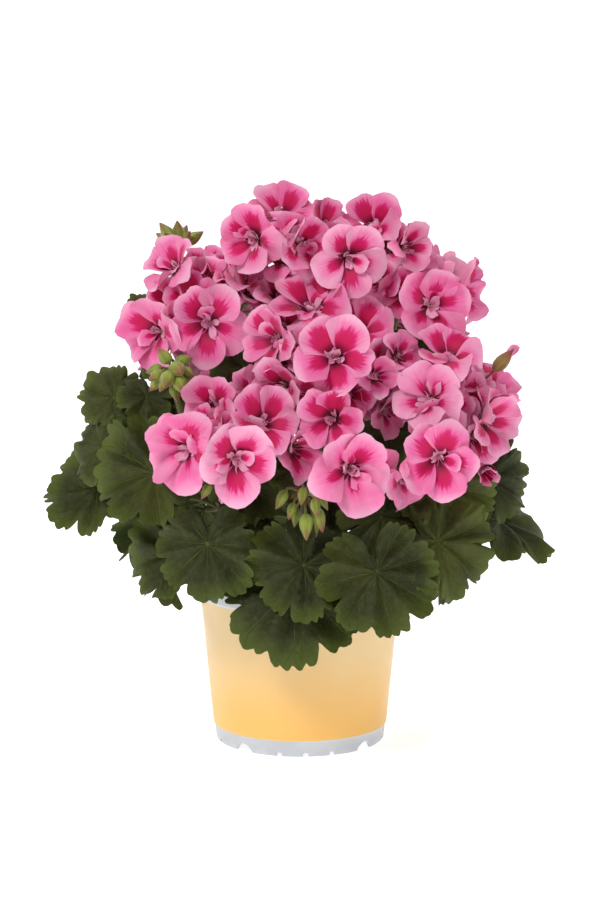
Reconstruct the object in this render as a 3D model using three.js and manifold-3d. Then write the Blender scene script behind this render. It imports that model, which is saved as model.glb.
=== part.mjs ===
// Potted geranium, in millimetres, +Z up. The origin is the middle of the pot's foot, front is -Y.
import * as THREE from "three";
import { mergeVertices } from "three/addons/utils/BufferGeometryUtils.js";
import Module from "manifold-3d";

const wasm = await Module();
wasm.setup();

// Driving dimensions
const potHeight = 93;
const rimRadius = 60;
const labelTopRadius = 57.2;
const labelBottomRadius = 50;
const labelBottomZ = 9.5;
const footRadius = 48.4;
const wall = 1.3;
const floorZ = 6;
const soilTopZ = 83;
const clearance = 0.3;
const potSides = 32;
const stemRadius = 3.6;
const holeDepth = 14;
const hubRadius = 3.6;
const petalThickness = 1.1;
const clawRadius = 2;
const leafThickness = 1.1;
const petalCount = 5;
const cupDepth = 4.5;
const footTurn = 4;
const archRadius = 6;
const drainRadius = 3.5;
const drainCircle = 36;
const stemHoleRadius = stemRadius + 0.7;

const white = 0xd9dde2;
const earth = 0x3a2a1e;
const green = 0x4a5a2a;
const budGreen = 0x7d8a2e;
const pink = 0xec82af;

const degrees = Math.PI / 180;
const goldenTurn = 137.5 * degrees;
const sameVertex = 1e-4;

// Repeatable draw between 0 and 1 for a row number and a key.
function draw(row, key) {
  const s = Math.sin(row * 12.9898 + key * 78.233) * 43758.5453;
  return s - Math.floor(s);
}

const vec = (x, y, z) => new THREE.Vector3(x, y, z);

// Unit vector for an azimuth (0 is the front, 90 the right) and an elevation in degrees.
function direction(azimuth, elevation) {
  const a = azimuth * degrees;
  const e = elevation * degrees;
  return vec(Math.sin(a) * Math.cos(e), -Math.cos(a) * Math.cos(e), Math.sin(e));
}

// Axes of a blade or floret: n faces out, u lies in its plane and points downhill or outward, v is across.
function facingAxes(azimuth, elevation, roll) {
  const a = azimuth * degrees;
  const e = elevation * degrees;
  const n = direction(azimuth, elevation);
  const down = vec(Math.sin(a) * Math.sin(e), -Math.cos(a) * Math.sin(e), -Math.cos(e));
  const across = n.clone().cross(down);
  const c = Math.cos(roll * degrees);
  const s = Math.sin(roll * degrees);
  const u = down.clone().multiplyScalar(c).addScaledVector(across, s);
  return { n, u, v: n.clone().cross(u) };
}

// Solid from points and triangles, for cutting and joining.
function toSolid(points, triangles) {
  const flat = new Float32Array(points.length * 3);
  points.forEach((p, i) => p.toArray(flat, i * 3));
  const mesh = new wasm.Mesh({
    numProp: 3,
    vertProperties: flat,
    triVerts: new Uint32Array(triangles.flat()),
  });
  return new wasm.Manifold(mesh);
}

function geometryToSolid(geometry) {
  const bare = geometry.clone();
  bare.deleteAttribute("normal");
  bare.deleteAttribute("uv");
  const merged = mergeVertices(bare, sameVertex);
  const mesh = new wasm.Mesh({
    numProp: 3,
    vertProperties: new Float32Array(merged.attributes.position.array),
    triVerts: new Uint32Array(merged.index.array),
  });
  return new wasm.Manifold(mesh);
}

function solidToGeometry(solid) {
  const mesh = solid.getMesh();
  const geometry = new THREE.BufferGeometry();
  geometry.setAttribute("position", new THREE.BufferAttribute(new Float32Array(mesh.vertProperties), 3));
  geometry.setIndex(new THREE.BufferAttribute(new Uint32Array(mesh.triVerts), 1));
  const flat = geometry.toNonIndexed();
  flat.computeVertexNormals();
  return flat;
}

function joinAll(solids) {
  let joined = solids[0];
  for (const next of solids.slice(1)) {
    joined = joined.add(next);
  }
  return joined;
}

// Cubic curve from start to end that leaves along one direction and arrives along another.
function curve(start, leave, end, arrive, count) {
  const reach = start.distanceTo(end) * 0.38;
  const a = start.clone().addScaledVector(leave, reach);
  const b = end.clone().addScaledVector(arrive, -reach);
  return new THREE.CubicBezierCurve3(start, a, b, end).getPoints(count);
}

// Rings and side triangles of a stalk along a row of points, closed at its start and open at its end.
// endSide is the way from the last point to the first corner of its ring.
function tube(points, radii, sides, endSide) {
  const last = points.length - 1;
  const rings = [];
  const triangles = [];
  let side = endSide;
  for (let i = last; i >= 0; i--) {
    const before = points[Math.max(0, i - 1)];
    const after = points[Math.min(last, i + 1)];
    const along = after.clone().sub(before).normalize();
    side = side.clone().addScaledVector(along, -side.dot(along)).normalize();
    const other = along.clone().cross(side);
    rings[i] = [];
    for (let k = 0; k < sides; k++) {
      const turn = (k / sides) * Math.PI * 2;
      const corner = points[i].clone().addScaledVector(side, Math.cos(turn) * radii[i]);
      rings[i].push(corner.addScaledVector(other, Math.sin(turn) * radii[i]));
    }
  }
  for (let i = 0; i < last; i++) {
    for (let k = 0; k < sides; k++) {
      const a = i * sides + k;
      const b = i * sides + ((k + 1) % sides);
      triangles.push([a, b, b + sides], [a, b + sides, a + sides]);
    }
  }
  for (let k = 1; k < sides - 1; k++) {
    triangles.push([0, k + 1, k]);
  }
  return { points: rings.flat(), triangles };
}

// Stalk closed at both ends.
function stalk(points, radii, sides) {
  const count = points.length;
  const along = points[count - 1].clone().sub(points[count - 2]);
  const across = Math.abs(along.x) < Math.abs(along.y) + Math.abs(along.z) ? vec(1, 0, 0) : vec(0, 1, 0);
  const body = tube(points, radii, sides, across);
  const end = (count - 1) * sides;
  for (let k = 1; k < sides - 1; k++) {
    body.triangles.push([end, end + k, end + k + 1]);
  }
  return toSolid(body.points, body.triangles);
}

// Evenly changing radii for a stalk.
function taper(from, to, count) {
  return Array.from({ length: count }, (_, i) => from + ((to - from) * i) / (count - 1));
}

// Triangles between an outer and an inner ring of [index, turn] pairs in rising turn, seen from behind.
function zip(outer, inner) {
  const full = Math.PI * 2;
  const triangles = [];
  let i = 0;
  let j = 0;
  const turnOf = (ring, k) => ring[k % ring.length][1] + Math.floor(k / ring.length) * full;
  const indexOf = (ring, k) => ring[k % ring.length][0];
  while (i < outer.length || j < inner.length) {
    const outerMiddle = (turnOf(outer, i) + turnOf(outer, i + 1)) / 2;
    const innerMiddle = (turnOf(inner, j) + turnOf(inner, j + 1)) / 2;
    if (j >= inner.length || (i < outer.length && outerMiddle < innerMiddle)) {
      triangles.push([indexOf(outer, i), indexOf(inner, j), indexOf(outer, i + 1)]);
      i++;
    } else {
      triangles.push([indexOf(outer, i), indexOf(inner, j), indexOf(inner, j + 1)]);
      j++;
    }
  }
  return triangles;
}

// Barrel with flat ends: thick in the middle.
function barrel(centre, along, halfLength, endRadius, middleRadius, sides) {
  const points = [-halfLength, 0, halfLength].map((d) => centre.clone().addScaledVector(along, d));
  return stalk(points, [endRadius, middleRadius, endRadius], sides);
}

// Thin blade: points of its middle surface and triangles seen from the front. Points on the rim are shared
// by both faces, and the inner ones are set apart by the thickness, with both faces split alike.
function blade(middle, triangles, rimCount, thickness) {
  const normals = middle.map(() => vec(0, 0, 0));
  for (const [a, b, c] of triangles) {
    const face = middle[b].clone().sub(middle[a]).cross(middle[c].clone().sub(middle[a]));
    [a, b, c].forEach((i) => normals[i].add(face));
  }
  const points = middle.slice(0, rimCount);
  const backIndex = middle.map((_, i) => i);
  const front = middle.slice(rimCount).map((p, i) => {
    const n = normals[rimCount + i].normalize();
    return p.clone().addScaledVector(n, thickness / 2);
  });
  points.push(...front);
  middle.slice(rimCount).forEach((p, i) => {
    backIndex[rimCount + i] = points.length;
    points.push(p.clone().addScaledVector(normals[rimCount + i], -thickness / 2));
  });
  const all = triangles.slice();
  for (const [a, b, c] of triangles) {
    all.push([backIndex[a], backIndex[c], backIndex[b]]);
  }
  return toSolid(points, all);
}

// Petal shape: share of its length and half its width there, for a length of 1.
const petalBelly = [0.68, 0.55];
const petalTip = [0.98, 0.32];
const petalMiddle = 0.66;
const petalTwist = 9;

// Length of each petal against the floret's own: the upper two and the lowest are longer than the side ones.
const petalShare = [1.08, 0.98, 1.08, 0.98, 1.08];

// Triangles of one petal. Its points are left, right and back of the claw, left and right of the belly,
// left and right of the tip, then the middle of the belly in front and behind.
const petalFront = [
  [0, 7, 1],
  [0, 3, 7],
  [1, 7, 4],
  [3, 5, 7],
  [4, 7, 6],
  [5, 6, 7],
];
const petalBack = [
  [0, 2, 8],
  [2, 1, 8],
  [0, 8, 3],
  [1, 4, 8],
  [3, 8, 5],
  [4, 6, 8],
  [5, 8, 6],
];
const petalCorners = 9;

// Out and up position along a petal that rises steeply at its claw and spreads towards its tip.
function petalLine(t, start, end) {
  const steps = 12;
  let out = 0;
  let up = 0;
  for (let i = 0; i < steps; i++) {
    const s = ((i + 0.5) / steps) * t;
    const angle = (start + (end - start) * Math.min(1, s * 1.6)) * degrees;
    out += (Math.cos(angle) * t) / steps;
    up += (Math.sin(angle) * t) / steps;
  }
  return [out, up];
}

// Points of one petal, in the order that petalFront and petalBack count them.
function petalPoints(centre, axes, turn, length, start, end, width) {
  const radial = axes.u.clone().multiplyScalar(Math.cos(turn)).addScaledVector(axes.v, Math.sin(turn));
  const lateral = axes.n.clone().cross(radial);
  const tilt = Math.sin(petalTwist * degrees);
  const at = (t, half, raise) => {
    const [out, up] = petalLine(t, start, end);
    const [aheadOut, aheadUp] = petalLine(t + 0.05, start, end);
    const slope = Math.atan2(aheadUp - up, aheadOut - out);
    const across = half * length;
    const lift = across * tilt + 0.35 * half * half * length;
    return centre
      .clone()
      .addScaledVector(radial, clawRadius + out * length - raise * Math.sin(slope))
      .addScaledVector(lateral, across)
      .addScaledVector(axes.n, up * length + lift + raise * Math.cos(slope));
  };
  const claw = 0.9 / length;
  const thick = petalThickness / 2;
  return [
    at(0, -claw, 0),
    at(0, claw, 0),
    at(0, 0, -petalThickness),
    at(petalBelly[0], -petalBelly[1] * width, 0),
    at(petalBelly[0], petalBelly[1] * width, 0),
    at(petalTip[0], -petalTip[1] * width, 0),
    at(petalTip[0], petalTip[1] * width, 0),
    at(petalMiddle, 0, thick),
    at(petalMiddle, 0, -thick),
  ];
}

// Small petaloid of the middle: a narrow pointed blade.
function petaloid(centre, axes, turn, length, start, end) {
  const radial = axes.u.clone().multiplyScalar(Math.cos(turn)).addScaledVector(axes.v, Math.sin(turn));
  const lateral = axes.n.clone().cross(radial);
  const at = (t, half) => {
    const [out, up] = petalLine(t, start, end);
    return centre
      .clone()
      .addScaledVector(radial, 0.6 + out * length)
      .addScaledVector(lateral, half * length)
      .addScaledVector(axes.n, up * length - 0.6);
  };
  const middle = [at(0, 0), at(0.6, -0.3), at(1, 0.08), at(0.65, 0.3), at(0.6, 0)];
  const triangles = [
    [0, 3, 4],
    [3, 2, 4],
    [2, 1, 4],
    [1, 0, 4],
  ];
  return blade(middle, triangles, 4, 1);
}

// Floret with its thin stalk: five broad petals that overlap like a pinwheel, grown from one cup whose
// back runs out into the stalk to the head's hub.
function corolla(centre, axes, length, closing, number, hub) {
  const back = centre.clone().addScaledVector(axes.n, -cupDepth);
  const leave = back.clone().sub(hub).normalize().add(vec(0, 0, 0.35)).normalize();
  const inside = hub.clone().addScaledVector(leave, hubRadius * 0.6);
  const path = curve(inside, leave, back, axes.n, 2);
  const { points, triangles } = tube(path, [0.95, 0.9, 0.95], 3, axes.u);
  const stalkEnd = [0, 1, 2].map((k) => [6 + k, (k / 3) * Math.PI * 2]);
  const throat = points.length;
  points.push(centre.clone().addScaledVector(axes.n, 0.4));
  const cupRim = [];
  const firstOf = (k) => throat + 1 + (k % petalCount) * petalCorners;
  for (let k = 0; k < petalCount; k++) {
    const turn = ((k + 0.5 + 0.14 * (draw(number, k) - 0.5)) / petalCount) * Math.PI * 2;
    const size = length * (0.95 + 0.1 * draw(number, k + 10)) * petalShare[k];
    const start = 42 + closing * 30 + 6 * draw(number, k + 20);
    const end = 6 + closing * 60 + 10 * draw(number, k + 30);
    points.push(...petalPoints(centre, axes, turn, size, start, end, 1 - 0.65 * closing));
    const from = firstOf(k);
    for (const corners of [...petalFront, ...petalBack]) {
      triangles.push(corners.map((i) => from + i));
    }
    triangles.push([throat, from, from + 1], [throat, from + 1, firstOf(k + 1)]);
    cupRim.push([from, turn - 0.4], [from + 2, turn], [from + 1, turn + 0.4]);
  }
  triangles.push(...zip(cupRim, stalkEnd));
  return toSolid(points, triangles);
}

// A floret row is x, y, z of its throat, azimuth, elevation, roll, petal length, petaloids, closing.
function floret(row, hub, number) {
  const [x, y, z, azimuth, elevation, roll, length, petaloids, closing] = row;
  const centre = vec(x, y, z);
  const axes = facingAxes(azimuth, elevation, roll + 180);
  const parts = [corolla(centre, axes, length, closing, number, hub)];
  for (let k = 0; k < petaloids; k++) {
    const turn = ((k + 0.5 + 0.3 * draw(number, k + 40)) / petaloids) * Math.PI * 2;
    const size = length * (0.42 + 0.14 * draw(number, k + 50));
    parts.push(petaloid(centre, axes, turn, size, 72, 38));
  }
  return joinAll(parts);
}

// Flower head: a hub with florets on thin stalks. The hub stands just clear of the flower stalk's end.
function flowerHead(head) {
  const hub = vec(...head.hub);
  const along = direction(...head.lean);
  const parts = [barrel(hub, along, hubRadius, 2, hubRadius, 6)];
  head.florets.forEach((row, i) => parts.push(floret(row, hub, head.seed + i)));
  for (const [x, y, z, azimuth, elevation, length] of head.buds || []) {
    parts.push(bud(vec(x, y, z), direction(azimuth, elevation), length, hub));
  }
  return joinAll(parts);
}

// Closed bud: a pointed spindle on a thin stalk from the hub.
function bud(base, along, length, hub) {
  const thick = length * 0.24;
  const belly = base.clone().addScaledVector(along, length * 0.4);
  const tip = base.clone().addScaledVector(along, length);
  const leave = base.clone().sub(hub).normalize();
  const inside = hub.clone().addScaledVector(leave, 2);
  const steps = base.distanceTo(hub) > 12 ? 2 : 1;
  const path = curve(inside, leave, base, along, steps);
  return stalk([...path, belly, tip], [...taper(0.8, 0.9, steps + 1), thick, 0.35], 4);
}

// Bud cluster: buds spread round a hub, from straight out to a cone round the main direction.
function budCluster(cluster) {
  const hub = vec(...cluster.hub);
  const axes = facingAxes(...cluster.main, 0);
  const parts = [barrel(hub, direction(...cluster.lean), 2.6, 1.7, 2.9, 6)];
  for (let k = 0; k < cluster.count; k++) {
    const turn = k * goldenTurn;
    const open = cluster.spread * Math.sqrt((k + 0.4) / cluster.count) * degrees;
    const out = axes.n.clone().multiplyScalar(Math.cos(open));
    out.addScaledVector(axes.u, Math.sin(open) * Math.cos(turn));
    out.addScaledVector(axes.v, Math.sin(open) * Math.sin(turn));
    const reach = cluster.reach * (0.7 + 0.5 * draw(cluster.seed, k));
    const base = hub.clone().addScaledVector(out, reach);
    const hang = out.clone().add(vec(0, 0, -cluster.droop)).normalize();
    const length = cluster.length * (0.75 + 0.4 * draw(cluster.seed, k + 20));
    parts.push(bud(base, hang, length, hub));
  }
  return joinAll(parts);
}

// Leaf outline: large leaves have seven lobes and small ones five, the middle lobe the longest.
const largeLeaf = 26;
const lobeReach = (angle) => 1 - 0.2 * (angle / 140) ** 2;
const notchDepth = 0.19;

function lobeAngles(radius) {
  return radius >= largeLeaf ? [-138, -92, -46, 0, 46, 92, 138] : [-128, -64, 0, 64, 128];
}

// Height of the blade over its own plane at an angle and a reach, for a radius of 1.
function leafHeight(angle, reach, shape) {
  const a = angle * degrees;
  const pleat = 0.05 * Math.cos((angle / shape.step) * Math.PI * 2) * reach;
  const dish = shape.dish * reach * reach;
  const fold = shape.fold * Math.abs(Math.sin(a)) * reach;
  const droop = -shape.droop * Math.max(0, Math.cos(a)) ** 2 * reach * reach * reach;
  return dish - pleat + fold + droop;
}

// Leaf with its stalk from the stem. Both faces of the blade share the rim, and the inner points are set
// apart by the thickness. A row is x, y, z of the blade's middle, azimuth, elevation, roll, radius, dish,
// fold, droop.
function leaf(row, from, outward) {
  const [x, y, z, azimuth, elevation, roll, radius, dish, fold, droop] = row;
  const centre = vec(x, y, z);
  const axes = facingAxes(azimuth, elevation, roll);
  const angles = lobeAngles(radius);
  const step = angles[1] - angles[0];
  const shape = { dish, fold, droop, step };
  const at = (angle, reach, raise = 0) => {
    const a = angle * degrees;
    return centre
      .clone()
      .addScaledVector(axes.u, Math.cos(a) * reach * radius)
      .addScaledVector(axes.v, Math.sin(a) * reach * radius)
      .addScaledVector(axes.n, leafHeight(angle, reach, shape) * radius + raise);
  };
  const thick = radius > 20 ? 1.45 : 1.1;
  const end = centre.clone().addScaledVector(axes.n, -1.4);
  const path = curve(from, outward, end, axes.n.clone().addScaledVector(axes.u, 0.4).normalize(), 2);
  const { points, triangles } = tube(path, taper(thick, thick * 0.85, 3), 3, axes.u);
  const stalkEnd = [2, 0, 1].map((k, i) => [6 + k, (i - 1) * 120 * degrees]);
  const first = points.length;
  const rim = [at(-162, 0.6)];
  const fans = [];
  for (const angle of angles) {
    const start = rim.length - 1;
    const reach = lobeReach(angle);
    const next = angle + step / 2;
    rim.push(at(angle - step * 0.28, reach), at(angle + step * 0.28, reach));
    rim.push(angle < angles[angles.length - 1] ? at(next, lobeReach(next) - notchDepth) : at(162, 0.6));
    fans.push([start, rim.length - 1]);
  }
  rim.push(at(180, 0.1));
  const cleft = first + rim.length - 1;
  points.push(...rim);
  const half = leafThickness / 2;
  const hub = points.length;
  points.push(at(0, 0, half));
  const veins = angles.map((angle) => {
    points.push(at(angle, 0.55 * lobeReach(angle), half), at(angle, 0.55 * lobeReach(angle), -half));
    return points.length - 2;
  });
  const both = (a, b, c) => {
    const behind = (i) => (i > hub ? i + 1 : i);
    triangles.push([a, b, c], [behind(a), behind(c), behind(b)]);
  };
  fans.forEach(([start, stop], i) => {
    for (let k = start; k < stop; k++) {
      both(veins[i], first + k, first + k + 1);
    }
    if (i < fans.length - 1) {
      both(veins[i], first + stop, veins[i + 1]);
      triangles.push([hub, veins[i], veins[i + 1]]);
    }
  });
  const lastVein = veins[veins.length - 1];
  triangles.push([hub, first, veins[0]], [hub, cleft, first]);
  triangles.push([hub, lastVein, cleft - 1], [hub, cleft - 1, cleft]);
  const ring = [[cleft, -180], [first, -162]];
  angles.forEach((angle, i) => ring.push([veins[i] + 1, angle]));
  ring.push([cleft - 1, 162]);
  triangles.push(...zip(ring.map(([i, angle]) => [i, angle * degrees]), stalkEnd));
  return toSolid(points, triangles);
}

// Leafy stem: the stem from its hole in the soil, its leaves on stalks, and the flower stalks that it bears.
function leafyStem(shoot) {
  const base = vec(...shoot.foot, soilTopZ - holeDepth + clearance);
  const foot = vec(...shoot.foot, soilTopZ + 3);
  const top = vec(...shoot.top);
  const up = vec(0, 0, 1);
  const line = new THREE.CubicBezierCurve3(
    foot,
    foot.clone().addScaledVector(up, foot.distanceTo(top) * 0.45),
    top.clone().addScaledVector(direction(...shoot.lean), -foot.distanceTo(top) * 0.25),
    top,
  );
  const parts = [stalk([base, ...line.getPoints(4)], taper(stemRadius, stemRadius * 0.7, 6), 6)];
  shoot.leaves.forEach((row, i) => {
    const level = 0.4 + (0.54 * (i + 0.5)) / shoot.leaves.length;
    const from = line.getPoint(level);
    const outward = vec(row[0] - from.x, row[1] - from.y, 0).normalize();
    outward.addScaledVector(up, 0.9).normalize();
    parts.push(leaf(row, from, outward));
  });
  for (const end of shoot.bears) {
    const along = direction(...end.lean);
    const tip = vec(...end.hub).addScaledVector(along, -end.half - clearance);
    const bend = tip.clone().addScaledVector(along, -2.5);
    const from = line.getPoint(end.level || 0.9);
    const leave = direction(...(end.leave || shoot.lean));
    parts.push(stalk([...curve(from, leave, bend, along, 3), tip], taper(1.9, 1.6, 5), 4));
  }
  return joinAll(parts);
}

// Foliage and flower stalks, one entry per leafy stem.
// Leaf rows: x, y, z, azimuth, elevation, roll, radius, dish, fold, droop.
const shoots = [
  {
    name: "leafy_stem_front",
    foot: [2, -27],
    top: [0, -48, 124],
    lean: [0, 40],
    leaves: [
      [-3, -79, 105, 0, 18, 0, 44, 0, 0.06, 0.1],
      [2, -93, 119, -10, 14, -38, 31, 0.02, 0.08, 0.12],
      [16, -56, 150, 4, 20, 8, 26, 0.05, 0.08, 0.1],
      [-6, -66, 166, 4, 24, 0, 14, 0.05, 0.08, 0.1],
    ],
    bears: [
      { hub: [2, -90, 158], lean: [0, 45], half: 2.6, leave: [0, 25], level: 0.88 },
      { hub: [29, -58, 174], lean: [15, 50], half: 3.6, leave: [40, 60], level: 0.97 },
    ],
  },
  {
    name: "leafy_stem_front_left",
    foot: [-20, -18],
    top: [-36, -42, 132],
    lean: [-40, 45],
    leaves: [
      [-70, -52, 117, -30, 28, -75, 30, 0.05, 0.12, 0.15],
      [-50, -85, 129, -12, 12, 0, 31.5, 0.05, 0.05, 0.1],
      [-30, -50, 157, -10, 25, -10, 24, 0.05, 0.05, 0.1],
      [-25, -46, 127, -5, 18, 0, 17, 0.05, 0.05, 0.1],
      [-31, -14, 216, -10, 30, 0, 22, 0.05, 0.08, 0.1],
    ],
    bears: [
      { hub: [-41, -84, 167], lean: [-10, 40], half: 2.6, leave: [-20, 35], level: 0.85 },
      { hub: [-37, -57, 182], lean: [-20, 55], half: 3.6, leave: [-30, 60], level: 0.97 },
    ],
  },
  {
    name: "leafy_stem_left",
    foot: [-31, 0],
    top: [-60, -8, 158],
    lean: [-90, 50],
    leaves: [
      [-72, 14, 108, -85, 15, 0, 34, 0.05, 0.08, 0.15],
      [-80, 1, 150, -74, 20, 0, 27, 0.05, 0.08, 0.15],
      [-115, -8, 147, -25, 32, -80, 32, 0.05, 0.12, 0.15],
      [-80, -56, 163, -15, 30, -75, 35, 0.1, 0.1, 0.1],
      [-110, -24, 171, -35, 20, -70, 23, 0.05, 0.25, 0.2],
      [-90, -41, 178, -10, 40, -60, 11, 0.1, 0.1, 0],
      [-92, 24, 186, -100, 35, 0, 26, 0.05, 0.08, 0.15],
      [-80, 16, 221, -95, 45, 0, 20, 0.05, 0.08, 0.15],
      [-86, -24, 201, 0, 35, -20, 17, 0.05, 0.08, 0.1],
      [-105, -14, 199, -15, 30, -110, 21.5, 0.08, 0.15, 0.1],
      [-90, -2, 246, -30, 30, -100, 12, 0.05, 0.1, 0.1],
      [-66, -22, 200, -20, 30, 0, 16, 0.05, 0.1, 0.1],
    ],
    bears: [
      { hub: [-70, -60, 219], lean: [-10, 55], half: 2.6, leave: [-20, 60], level: 0.85 },
      { hub: [-54, 2, 241], lean: [-80, 65], half: 3.6, leave: [20, 80], level: 0.93 },
      { hub: [-69, 17, 281], lean: [-80, 85], half: 2.6, leave: [-150, 70], level: 0.98 },
    ],
  },
  {
    name: "leafy_stem_back_left",
    foot: [-20, 20],
    top: [-40, 36, 150],
    lean: [-140, 50],
    leaves: [
      [-57, 80, 118, -148, 15, 0, 34, 0.05, 0.08, 0.15],
      [-88, 42, 122, -118, 15, 0, 33, 0.05, 0.08, 0.15],
      [-70, 72, 152, -135, 25, 0, 27, 0.05, 0.08, 0.15],
      [-94, 50, 155, -114, 25, 0, 27, 0.05, 0.08, 0.15],
      [-32, 62, 170, -160, 45, 0, 24, 0.05, 0.08, 0.15],
    ],
    bears: [{ hub: [-46, 48, 220], lean: [-140, 65], half: 3.6 }],
  },
  {
    name: "leafy_stem_back",
    foot: [0, 30],
    top: [0, 56, 132],
    lean: [180, 45],
    leaves: [
      [0, 96, 110, 180, 12, 0, 36, 0.05, 0.08, 0.15],
      [-26, 72, 146, -165, 30, 0, 24, 0.05, 0.08, 0.15],
      [30, 72, 148, 165, 30, 0, 24, 0.05, 0.08, 0.15],
    ],
    bears: [{ hub: [2, 77, 174], lean: [174, 48], half: 3.6 }],
  },
  {
    name: "leafy_stem_back_right",
    foot: [20, 20],
    top: [40, 36, 150],
    lean: [140, 50],
    leaves: [
      [57, 80, 118, 148, 15, 0, 34, 0.05, 0.08, 0.15],
      [88, 46, 122, 118, 15, 0, 33, 0.05, 0.08, 0.15],
      [70, 72, 154, 135, 25, 0, 27, 0.05, 0.08, 0.15],
      [90, 52, 164, 118, 25, 0, 26, 0.05, 0.08, 0.15],
      [34, 62, 172, 160, 45, 0, 24, 0.05, 0.08, 0.15],
    ],
    bears: [{ hub: [50, 50, 218], lean: [140, 65], half: 3.6 }],
  },
  {
    name: "leafy_stem_right",
    foot: [31, 0],
    top: [62, -4, 155],
    lean: [90, 50],
    leaves: [
      [78, 12, 108, 85, 15, 0, 34, 0.05, 0.08, 0.15],
      [112, -24, 131, 40, 50, 62, 37, 0, 0.25, 0.3],
      [100, 10, 152, 80, 25, 0, 24, 0.05, 0.08, 0.15],
      [80, 25, 186, 105, 40, 0, 24, 0.05, 0.08, 0.15],
      [105, -40, 158, 35, 20, 60, 28, 0.1, 0.1, 0.1],
      [110, -8, 195, 50, 25, 60, 20, 0.05, 0.1, 0.1],
      [61, -8, 226, 10, 30, 0, 18, 0.05, 0.08, 0.1],
    ],
    bears: [{ hub: [58, 8, 251], lean: [80, 70], half: 3.6, leave: [170, 80], level: 0.97 }],
  },
  {
    name: "leafy_stem_front_right",
    foot: [24, -20],
    top: [46, -40, 134],
    lean: [45, 45],
    leaves: [
      [41, -101, 117, 10, 14, 12, 36, 0.05, 0.06, 0.12],
      [75, -78, 129, 24, 24, 58, 34, 0.05, 0.12, 0.12],
      [78, -62, 156, 15, 22, 30, 30, 0, 0.3, 0.2],
      [44, -70, 141, 8, 24, 0, 26, 0.05, 0.08, 0.1],
      [50, -44, 184, 10, 20, 0, 18, 0.05, 0.08, 0.1],
    ],
    bears: [{ hub: [80, -40, 197], lean: [60, 50], half: 3.6, level: 0.97 }],
  },
  {
    name: "leafy_stem_centre",
    foot: [0, 1],
    top: [2, -4, 165],
    lean: [0, 80],
    leaves: [
      [30, 18, 202, 120, 50, 0, 24, 0.05, 0.08, 0.15],
      [-20, 26, 198, -145, 50, 0, 24, 0.05, 0.08, 0.15],
      [28, -20, 182, 50, 45, 0, 21, 0.05, 0.08, 0.15],
      [-11, 14, 254, 0, 35, 0, 17, 0.05, 0.08, 0.1],
    ],
    bears: [
      { hub: [14, -36, 215], lean: [10, 55], half: 3.6, leave: [10, 55], level: 0.88 },
      { hub: [-4, -2, 250], lean: [0, 85], half: 3.6, level: 0.97 },
    ],
  },
];

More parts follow.
